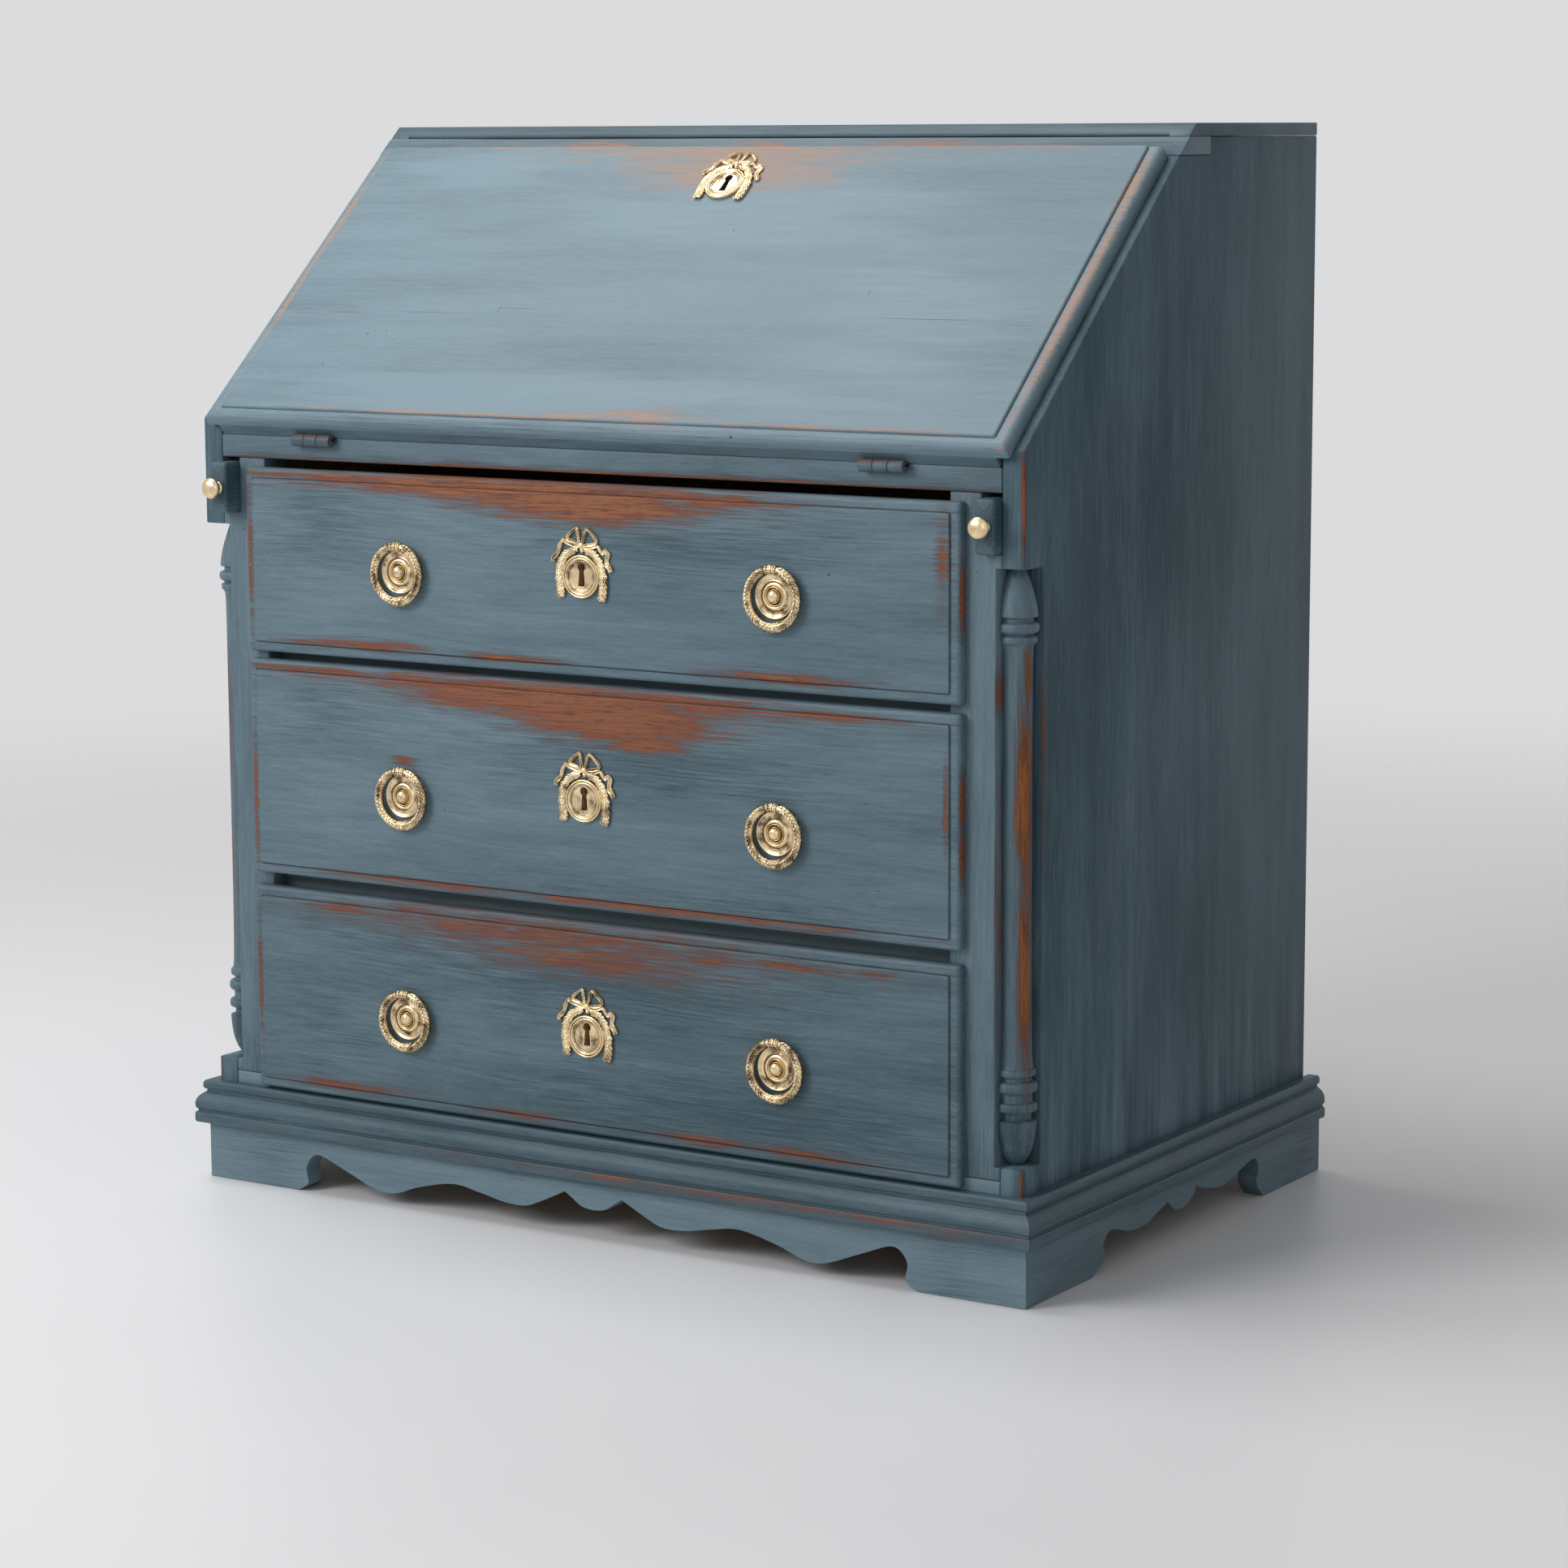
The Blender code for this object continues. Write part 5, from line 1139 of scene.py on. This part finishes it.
# Escutcheons: cast brass. A dished plate with the keyhole hangs in two laurel sprays under a ribbon bow.
# The same casting is on each drawer and on the fall.
PLATE = 0.020
PLATE_RIM = 0.0035
PLATE_ROUND = 64
PLATE_SHARES = (
    (1.0, 0.0), (1.0, 0.45), (0.99, 0.72), (0.965, 0.93), (0.935, 0.98), (0.905, 0.90), (0.890, 0.74),
    (0.876, 0.72), (0.862, 0.84), (0.84, 0.97), (0.81, 0.98), (0.78, 0.87), (0.755, 0.73), (0.735, 0.64),
    (0.722, 0.66), (0.708, 0.64), (0.695, 0.52), (0.60, 0.42), (0.45, 0.33), (0.25, 0.27), (0.08, 0.25),
)
# Each path is in millimetres from the keyhole's middle
SPRAYS = (
    ((-3.4, 22.6), (-10.6, 20.8), (-16.4, 17.4), (-20.6, 12.0), (-23.0, 5.0), (-23.8, -3.0), (-23.0, -11.0),
     (-22.2, -18.6)),
    ((4.6, 22.6), (12.4, 19.6), (18.4, 14.0), (22.0, 7.0), (24.0, -1.0), (24.3, -9.0), (23.6, -16.0),
     (23.1, -20.4)),
)
# Each ribbon: its half width in millimetres, how far it stands out as a share, and its path
RIBBONS = (
    (1.7, 0.80, ((-0.5, 25.0), (-6.0, 25.9), (-12.0, 27.0), (-17.0, 28.8), (-19.6, 31.0))),
    (2.2, 0.95, ((-18.2, 31.8), (-20.6, 29.0), (-23.4, 24.8), (-24.9, 20.0), (-27.4, 16.8), (-30.2, 14.2),
                 (-31.0, 10.6))),
    (1.6, 0.80, ((0.5, 25.0), (6.0, 24.4), (11.6, 24.6), (15.6, 25.9), (18.4, 26.2), (20.6, 23.6),
                 (23.0, 20.4), (25.6, 20.0))),
    (2.6, 0.95, ((24.2, 20.0), (27.0, 22.2), (29.2, 19.4), (28.0, 14.6), (28.4, 10.8), (31.2, 7.2),
                 (32.6, 3.6))),
    (1.5, 0.92, ((-0.8, 25.8), (-2.2, 30.0), (-3.1, 36.0), (-3.6, 42.0))),
    (1.75, 1.02, ((-3.8, 42.2), (-8.6, 39.0), (-13.0, 35.6), (-15.4, 32.6), (-12.6, 30.9), (-7.0, 29.8),
                  (-1.0, 26.0))),
    (1.45, 0.92, ((0.9, 25.8), (2.2, 30.4), (4.0, 36.0), (6.9, 41.8))),
    (1.75, 1.02, ((7.1, 42.0), (11.6, 38.4), (15.8, 34.0), (17.2, 30.4), (13.6, 28.0), (7.0, 27.0),
                  (1.0, 25.8))),
)
RIBBON_OUT = 0.0024
RAISED_EDGES = (
    (-1, 0.20), (-0.98, 0.80), (-0.80, 1.0), (-0.58, 0.95), (-0.38, 0.76), (0, 0.70), (0.38, 0.76),
    (0.58, 0.95), (0.80, 1.0), (0.98, 0.80), (1, 0.20), (0, 0.12),
)
ROUND_ROPE = (
    (-1, 0.10), (-0.93, 0.45), (-0.66, 0.80), (-0.3, 0.96), (0, 1.0), (0.3, 0.96), (0.66, 0.80),
    (0.93, 0.45), (1, 0.10), (0, 0.05),
)
MM = 0.001
RIBBON_STEPS = 5
GOLDEN_SHARE = 0.618034
PLATE_DROP = 0.0020


def strip_into(shape, path, halves, out, section, wave=0.0, round_end=0.0):
    """A strip along a path with a flat back, from one half width to another; it may wave, or end round."""
    run = smooth_run([(x * MM, z * MM) for x, z in path], RIBBON_STEPS)
    outlines = []
    for i, (x, z) in enumerate(run):
        before, after = run[max(i - 1, 0)], run[min(i + 1, len(run) - 1)]
        length = math.dist(before, after)
        share = i / (len(run) - 1)
        wide = halves[0] + (halves[1] - halves[0]) * share
        wide *= 1 - wave * abs(math.sin(2.5 * math.pi * share + 0.6))
        if round_end:
            wide *= math.sqrt(max(0.04, 1 - max(0.0, 1 - (1 - share) / round_end) ** 2))
        front = out * (1 + wave * math.sin(3 * math.pi * share))
        to_x, to_z = -(after[1] - before[1]) / length * wide, (after[0] - before[0]) / length * wide
        outlines.append([(x + to_x * aside, -front * height, z + to_z * aside) for aside, height in section])
    loft(shape, outlines)


def spray_tree(sizes):
    """Leaves along a path in the plane y = 0, fanned out to both its sides."""
    tree, given = tree_with("laurel_spray", sizes)
    path = add(tree, "GeometryNodeMeshToCurve", {"Mesh": given["Geometry"]})
    points = add(tree, "GeometryNodeCurveToPoints", {
        "Curve": path.outputs["Curve"], "Count": given["Leaves"]})
    tangent = points.outputs["Tangent"]
    flat = vector_calc(tree, "CROSS_PRODUCT", (0, -1, 0), tangent)
    index = add(tree, "GeometryNodeInputIndex").outputs[0]
    share = calc(tree, "FRACT", calc(tree, "MULTIPLY", index, GOLDEN_SHARE))
    turn_share = calc(tree, "MULTIPLY_ADD", share, 2.0, -1.0)
    angle = calc(tree, "MULTIPLY", turn_share, given["Splay"])
    heading = vector_calc(
        tree, "ADD", scaled(tree, tangent, calc(tree, "COSINE", angle)),
        scaled(tree, flat, calc(tree, "SINE", angle)))
    # The spray widens and thickens from its start, and closes again at its end
    along = calc(tree, "DIVIDE", index, given["Leaves"])
    swell = calc(tree, "MULTIPLY", ramp(tree, along, 0.0, 0.8, given["Start share"], 1.0),
                 ramp(tree, along, 0.90, 1.02, 1.0, 0.55))
    reach = calc(tree, "MULTIPLY", given["Aside"], swell)
    aside = scaled(tree, flat, calc(tree, "MULTIPLY", turn_share, reach))
    middle = calc(tree, "SUBTRACT", 1.0, calc(tree, "ABSOLUTE", turn_share))
    rise = calc(tree, "MULTIPLY", calc(tree, "MULTIPLY_ADD", middle, 0.6, 1.0), given["Lift"])
    raised = vector_of(tree, y=calc(tree, "MULTIPLY", calc(tree, "MULTIPLY", rise, swell), -1.0))
    place = add(tree, "GeometryNodeSetPosition", {
        "Geometry": points.outputs["Points"], "Offset": vector_calc(tree, "ADD", aside, raised)})
    outward = vector_calc(
        tree, "ADD", scaled(tree, flat, calc(tree, "MULTIPLY", turn_share, 0.75)), (0, -1, 0))
    leaf = add(tree, "GeometryNodeObjectInfo", {"Object": given["Leaf"]})
    return settle(tree, given, {
        "Points": place.outputs["Geometry"], "Instance": leaf.outputs["Geometry"],
        "Rotation": turned(tree, heading, outward), "Scale": chance_of(tree, given, 0.85, 1.15)})


spray_leaf = placed("spray_leaf", leaf_mesh("spray_leaf", 0.0042, 0.0032, 0.0010))
spray_sizes = {"Leaves": 130, "Leaf": spray_leaf, "Splay": 0.4, "Aside": 0.0029, "Lift": 0.0015,
               "Start share": 0.6, "Seed": 5}
leaf_spray = spray_tree(spray_sizes)
sprays = []
for path in SPRAYS:
    run = smooth_run([(x * MM, 0, z * MM) for x, z in path], 4)
    line = bpy.data.meshes.new("spray_path")
    line.from_pydata(run, [(i, i + 1) for i in range(len(run) - 1)], [])
    sprays.append(grow(leaf_spray, line, BRASS, spray_sizes))
bpy.data.objects.remove(spray_leaf)

shape = bmesh.new()
turned_into(shape, profile_of(PLATE_SHARES, PLATE, 0, -PLATE_RIM, 2), PLATE_ROUND,
            lambda a, b, along: (a, along, b - PLATE_DROP))
plate = carve(closed_mesh(shape, "plate", 60), key_cutter(-0.008, 0.004, lambda x, z, out: (x, out, z)))
plate = mark_hollows(plate, 0.62, 3.0)
shape = bmesh.new()
for half, out, path in RIBBONS:
    strip_into(shape, path, (half * MM, half * MM * 1.15), RIBBON_OUT * out, RAISED_EDGES, 0.22)
for path in SPRAYS:
    strip_into(shape, path, (0.0024, 0.0043), 0.0026, ROUND_ROPE, 0.0, 0.10)
# The bow's knot, and the knot that ties the sprays
for x, z, radius in ((0.2, 25.7, 3.3), (1.4, 21.9, 2.5)):
    dome = [(radius * MM * math.cos(angle), -0.0008 - 0.0030 * math.sin(angle))
            for angle in (math.pi / 2 * i / 6 for i in range(6))]
    turned_into(shape, dome, 18, lambda a, b, along: (x * MM + a, along, z * MM + b))
ribbons = mark_hollows(closed_mesh(shape, "ribbons", 50), 0.62, 1.4)
escutcheon = joined("escutcheon", 55, plate, ribbons, *sprays)

face_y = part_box("drawer_top_escutcheon")[1].y
for name in DRAWERS:
    low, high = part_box(f"drawer_{name}_front")
    key_z = low.z + (high.z - low.z) * KEY_SHARES[name]
    mesh = moved(escutcheon, Matrix.Translation((0, face_y, key_z)))
    fit(f"drawer_{name}_key_plate", mesh, f"drawer_{name}", "brass", [BRASS], f"drawer_{name}_escutcheon")


# Fall front: a pine board that hinges down to write on, its lip lapping over the side boards with a round
# edge, and a raised field. Its iron lock is let into the back; the same brass escutcheon is on its face.
HINGE = Vector((0, -0.2791, 0.7274))
OUT = Vector((0, -math.sin(SLOPE), math.cos(SLOPE)))
FALL_BACK = -0.0023
FALL_FOOT = 0.0065
FALL_LONG = 0.38719
FALL_HALF = 0.426
FALL_LIP_HALF = 0.439
FALL_LIP_BACK = 0.009055
FALL_LIP_FRONT = 0.020755
FALL_ROUND = 0.0068
FALL_BORDER = 0.015
FALL_FIELD_FOOT = 0.019
FALL_KEY = 0.33299
LOCK_HALF = 0.0303
LOCK_LONG = 0.0723
LOCK_DEEP = 0.0098
LEAF_HALF = 0.0233
LEAF_BED = 0.0423
HINGE_MIDDLE = 0.313
HINGE_ROOM = 0.006
# The field's edge, as on the drawers
FALL_FIELD_EDGE = (
    (-0.0012, 0.0), (-0.0004, -0.0005), (0.0, -0.0005), (0.0, 0.0006), (0.0005, 0.0014), (0.0013, 0.0019),
    (0.0024, 0.0020),
)


def on_fall(x, along, out):
    """From the fall's own measures to its place at rest on the slope."""
    return HINGE + Vector((x, 0, 0)) + Vector(ALONG) * along + OUT * out


tongue = rounded(-FALL_HALF, FALL_HALF, FALL_FOOT, FALL_LONG, 0.001)
loops = [(tongue, FALL_BACK), (tongue, FALL_LIP_BACK),
         (rounded(-FALL_LIP_HALF, FALL_LIP_HALF, FALL_FOOT, FALL_LONG, 0.002), FALL_LIP_BACK)]
for inset, back in quarter_round(FALL_ROUND, LIP_STEPS + 1):
    edge = FALL_LIP_HALF - inset
    loops.append((
        rounded(-edge, edge, FALL_FOOT + inset, FALL_LONG - inset * 0.12, 0.002), FALL_LIP_FRONT - back))
for inset, out in FALL_FIELD_EDGE:
    edge = FALL_LIP_HALF - FALL_BORDER - inset
    loops.append((
        rounded(-edge, edge, FALL_FIELD_FOOT + inset, FALL_LONG - 0.0012 - max(inset, 0) * 0.3, 0.002),
        FALL_LIP_FRONT + out))
shape = bmesh.new()
stepped(shape, loops, on_fall)
cutters = [
    bar_cutter((-LOCK_HALF, FALL_LONG - LOCK_LONG, FALL_BACK - CUT_PAST),
               (LOCK_HALF, FALL_LONG + CUT_PAST, FALL_BACK + LOCK_DEEP), on_fall),
    key_cutter(0, 0.03, lambda x, z, out: on_fall(x, FALL_KEY + z, out))]
for sign in SIDES.values():
    middle = sign * HINGE_MIDDLE
    cutters.append(bar_cutter(
        (middle - LEAF_HALF, -HINGE_ROOM, -HINGE_ROOM), (middle + LEAF_HALF, LEAF_BED, SEAM), on_fall))
fall = carve(closed_mesh(shape, "fall_board"), *cutters)
# Its high tone, the sheen over its worn wood and its pale patches are painted light on a face turned up to
# the lamps; the keyhole gets painted shade
fall_paint = painted_wood(
    "fall_paint", HINGE, RIGHT, ALONG,
    worn=(
        (0.0, 0.378, 0.19, 0.022, 0.95), (0.0, 0.352, 0.13, 0.030, 0.9), (0.065, 0.026, 0.05, 0.010, 0.75),
        (-0.02, 0.023, 0.04, 0.005, 0.9), (-0.15, 0.021, 0.16, 0.0025, 0.8),
        (0.27, 0.021, 0.12, 0.0025, 0.8), (0.431, 0.20, 0.0055, 0.20, 1.0), (0.428, 0.33, 0.007, 0.05, 1.0),
        (-0.4270, 0.285, 0.0045, 0.055, 1.2), (-0.4275, 0.165, 0.0040, 0.045, 1.1),
        (-0.4290, 0.23, 0.0028, 0.12, 0.9), (-0.2, 0.385, 0.2, 0.003, 0.9), (0.28, 0.385, 0.13, 0.003, 0.9),
    ),
    wax_and_shade=((0.0, 0.012, 0.5, 0.010, 0.8), (0.40, 0.12, 0.03, 0.12, 0.3)),
    painted_light=((-0.05, 0.05, 0.42, 0.035, 1.3), (-0.30, 0.35, 0.12, 0.04, 1.0), (0.05, 0.30, 0.25, 0.06, 1.0),
           (0.28, 0.16, 0.12, 0.12, 0.8)),
    dents_and_shade=(
        (0, FALL_KEY, *KEY_SHADE), (0.161, 0.0086, 0.0020, 0.0012, 1.0),
        (0.0385, 0.270, 0.0005, 0.0030, 0.9), (0.222, 0.190, 0.0004, 0.0045, 0.9),
        (0.105, 0.176, 0.0009, 0.0009, 0.8), (-0.155, 0.205, 0.0009, 0.0009, 0.8),
        (-0.20, 0.245, 0.0009, 0.0009, 0.8), (-0.305, 0.121, 0.0013, 0.0013, 1.0),
        (-0.298, 0.125, 0.0010, 0.0010, 1.0), (-0.285, 0.126, 0.0012, 0.0012, 1.0),
        (-0.335, 0.080, 0.0012, 0.0014, 1.0), (-0.318, 0.085, 0.0010, 0.0012, 1.0),
        (-0.27, 0.115, 0.0009, 0.0010, 0.9), (-0.345, 0.150, 0.030, 0.0004, 0.7),
        (-0.25, 0.152, 0.060, 0.0004, 0.6), (0.30, 0.158, 0.075, 0.0004, 0.8),
        (-0.15, 0.160, 0.035, 0.0004, 0.7), (-0.17, 0.158, 0.0005, 0.012, 0.6),
    ),
    tone=0.25, painted_sheen=0.8)
fall_inner = painted_wood("fall_inner_paint", HINGE, RIGHT, ALONG, tone=-0.02)
fit("fall_board", fall, "fall", "blue_paint", [fall_paint, fall_inner], "fall_front")
for face in fall.polygons:
    face.material_index = int((Vector(face.center) - HINGE).dot(OUT) < FALL_LIP_BACK + 0.0001)
fit_board("fall_lock_case", "fall_lock", 0.0005, "fall", "iron", IRON)
fit_board("fall_lock_bolt", "fall_bolt", 0.0005, "fall_bolt", "iron", IRON)
mesh = moved(escutcheon, Matrix.Translation(on_fall(0, FALL_KEY, FALL_LIP_FRONT + FIELD + SEAM))
             @ Matrix.Rotation(SLOPE - math.pi / 2, 4, "X"))
fit("fall_key_plate", mesh, "fall", "brass", [BRASS], "fall_escutcheon")


# Hinges: two wrought iron butts, painted over with the wood. The lower leaf holds the pin and the outer
# knuckles, and the fall's leaf the middle one.
BARREL = 0.00575
BARREL_ROUND = 28
HINGE_WIDE = 0.046
LEAF_NEAR = 0.0065
LEAF_FAR = 0.042
LEAF_IRON = 0.002
HINGE_PAINT = painted_wood(
    "hinge_paint", (0, HINGE.y, HINGE.z), RIGHT, UP,
    worn=((-0.313, 0.005, 0.03, 0.002, 0.15), (0.313, 0.005, 0.03, 0.002, 0.15)), tone=-0.14)
for side, sign in SIDES.items():
    start, third = sign * HINGE_MIDDLE - HINGE_WIDE / 2, HINGE_WIDE / 3
    for name, body, knuckles, outward in (("desk", "root", (0, 2), 1), ("fall", "fall", (1,), -1)):
        lay = on_fall if name == "fall" else (lambda x, along, out: HINGE + Vector((x, along, out)))
        spans = [(start + k * third + SEAM / 2, start + (k + 1) * third - SEAM / 2) for k in knuckles]
        shape = bmesh.new()
        leaf_low, leaf_high = sorted((0, outward * LEAF_IRON))
        made = box_into(shape, (start, LEAF_NEAR, leaf_low), (start + HINGE_WIDE, LEAF_FAR, leaf_high))
        for near, far in spans:
            made += box_into(shape, (near, 0, leaf_low), (far, LEAF_NEAR + 0.0005, leaf_high))
        for vert in made:
            vert.co = lay(*vert.co)
        for near, far in spans:
            barrel = [(BARREL * 0.84, near), (BARREL * 0.96, near + 0.0003), (BARREL, near + 0.0010),
                      (BARREL, far - 0.0010), (BARREL * 0.96, far - 0.0003), (BARREL * 0.84, far)]
            turned_into(shape, barrel, BARREL_ROUND, lambda a, b, along: HINGE + Vector((along, a, b)))
        fit(f"hinge_{name}_{side}", closed_mesh(shape, f"hinge_{name}_{side}", 40), body, "painted_iron",
            [HINGE_PAINT], f"hinge_{name}_leaf_{side}")


# Studio: a pale floor that fades into a pale surround, a broad lamp from the upper left in front, a soft
# one over the slope, and the camera.
FLOOR_ROUND = 64
FLOOR_GREY = (0.820, 0.818, 0.830)
SURROUND = (0.715, 0.715, 0.725)
AIR_LIGHT = 0.30
FLOOR_REACH = 9.0
LAMPS = {
    "lamp_front_left": ((-2.0, -3.4, 2.6), (0, 0, 0.5), 2.2, 98),
    "lamp_over_slope": ((-1.15, -0.30, 3.6), (0.05, -0.1, 0.85), 1.8, 57),
    "lamp_fill": ((2.3, -3.9, 1.7), (0, 0, 0.45), 2.4, 12),
}
CAMERA_AT = (2.19412, -3.38689, 1.01216)
CAMERA_TURN = math.radians(32.543)
CAMERA_DOWN = math.radians(8.788)
CAMERA_ROLL = math.radians(-0.276)
CAMERA_LENS = 96.87

floor_shape = bmesh.new()
bmesh.ops.create_circle(floor_shape, cap_ends=True, segments=FLOOR_ROUND, radius=FLOOR_REACH)
floor_mesh = bpy.data.meshes.new("studio_floor")
floor_shape.to_mesh(floor_mesh)
floor_shape.free()
floor_mesh.transform(Matrix.Translation((0, 0, -0.0005)))
floor = placed("studio_floor", floor_mesh)
floor_finish, tree, shader = new_finish("studio_floor")
place = laid(tree, (0, 0, 0), RIGHT, UP)
scuff = cloud(tree, place, (2, 2, 2), 4)
plug(tree, shader.inputs["Base Color"], mixed(tree, scuff, [c * 0.97 for c in FLOOR_GREY], FLOOR_GREY))
plug(tree, shader.inputs["Roughness"], calc(tree, "MULTIPLY_ADD", scuff, 0.2, 0.35))
blend = add(tree, "ShaderNodeMixShader", {
    "Fac": ramp(tree, vector_calc(tree, "LENGTH", place), 1.1, 3.8), 1: shader.outputs["BSDF"],
    2: add(tree, "ShaderNodeBsdfTransparent").outputs["BSDF"]})
tree.links.new(blend.outputs["Shader"], tree.nodes["Material Output"].inputs["Surface"])
floor_mesh.materials.append(floor_finish)

world = bpy.data.worlds.new("studio")
bpy.context.scene.world = world
world.use_nodes = True
tree = world.node_tree
air = tree.nodes["Background"]
air.inputs["Color"].default_value = (1, 1, 1, 1)
air.inputs["Strength"].default_value = AIR_LIGHT
seen = add(tree, "ShaderNodeBackground", {"Color": (*SURROUND, 1)})
rays = add(tree, "ShaderNodeLightPath").outputs
direct = calc(tree, "MAXIMUM", rays["Is Camera Ray"], calc(
    tree, "MAXIMUM", rays["Is Glossy Ray"], rays["Is Transmission Ray"]))
blend = add(tree, "ShaderNodeMixShader", {
    "Fac": direct, 1: air.outputs["Background"], 2: seen.outputs["Background"]})
tree.links.new(blend.outputs["Shader"], tree.nodes["World Output"].inputs["Surface"])

for name, (at, target, size, watts) in LAMPS.items():
    lamp = placed(name, bpy.data.lights.new(name, "AREA"))
    lamp.data.size = size
    lamp.data.energy = watts
    lamp.location = at
    lamp.rotation_euler = (Vector(target) - Vector(at)).to_track_quat("-Z", "Y").to_euler()

forward = Vector((
    -math.sin(CAMERA_TURN) * math.cos(CAMERA_DOWN), math.cos(CAMERA_TURN) * math.cos(CAMERA_DOWN),
    -math.sin(CAMERA_DOWN)))
level = forward.cross(Vector(UP)).normalized()
upright = level.cross(forward)
camera_right = level * math.cos(CAMERA_ROLL) + upright * math.sin(CAMERA_ROLL)
camera_up = upright * math.cos(CAMERA_ROLL) - level * math.sin(CAMERA_ROLL)
camera = placed("camera", bpy.data.cameras.new("camera"))
camera.data.lens = CAMERA_LENS
camera.data.sensor_width = 36
camera.matrix_world = Matrix.Translation(CAMERA_AT) @ Matrix(
    (camera_right, camera_up, -forward)).transposed().to_4x4()
bpy.context.scene.camera = camera
bpy.context.scene.view_settings.view_transform = "Standard"
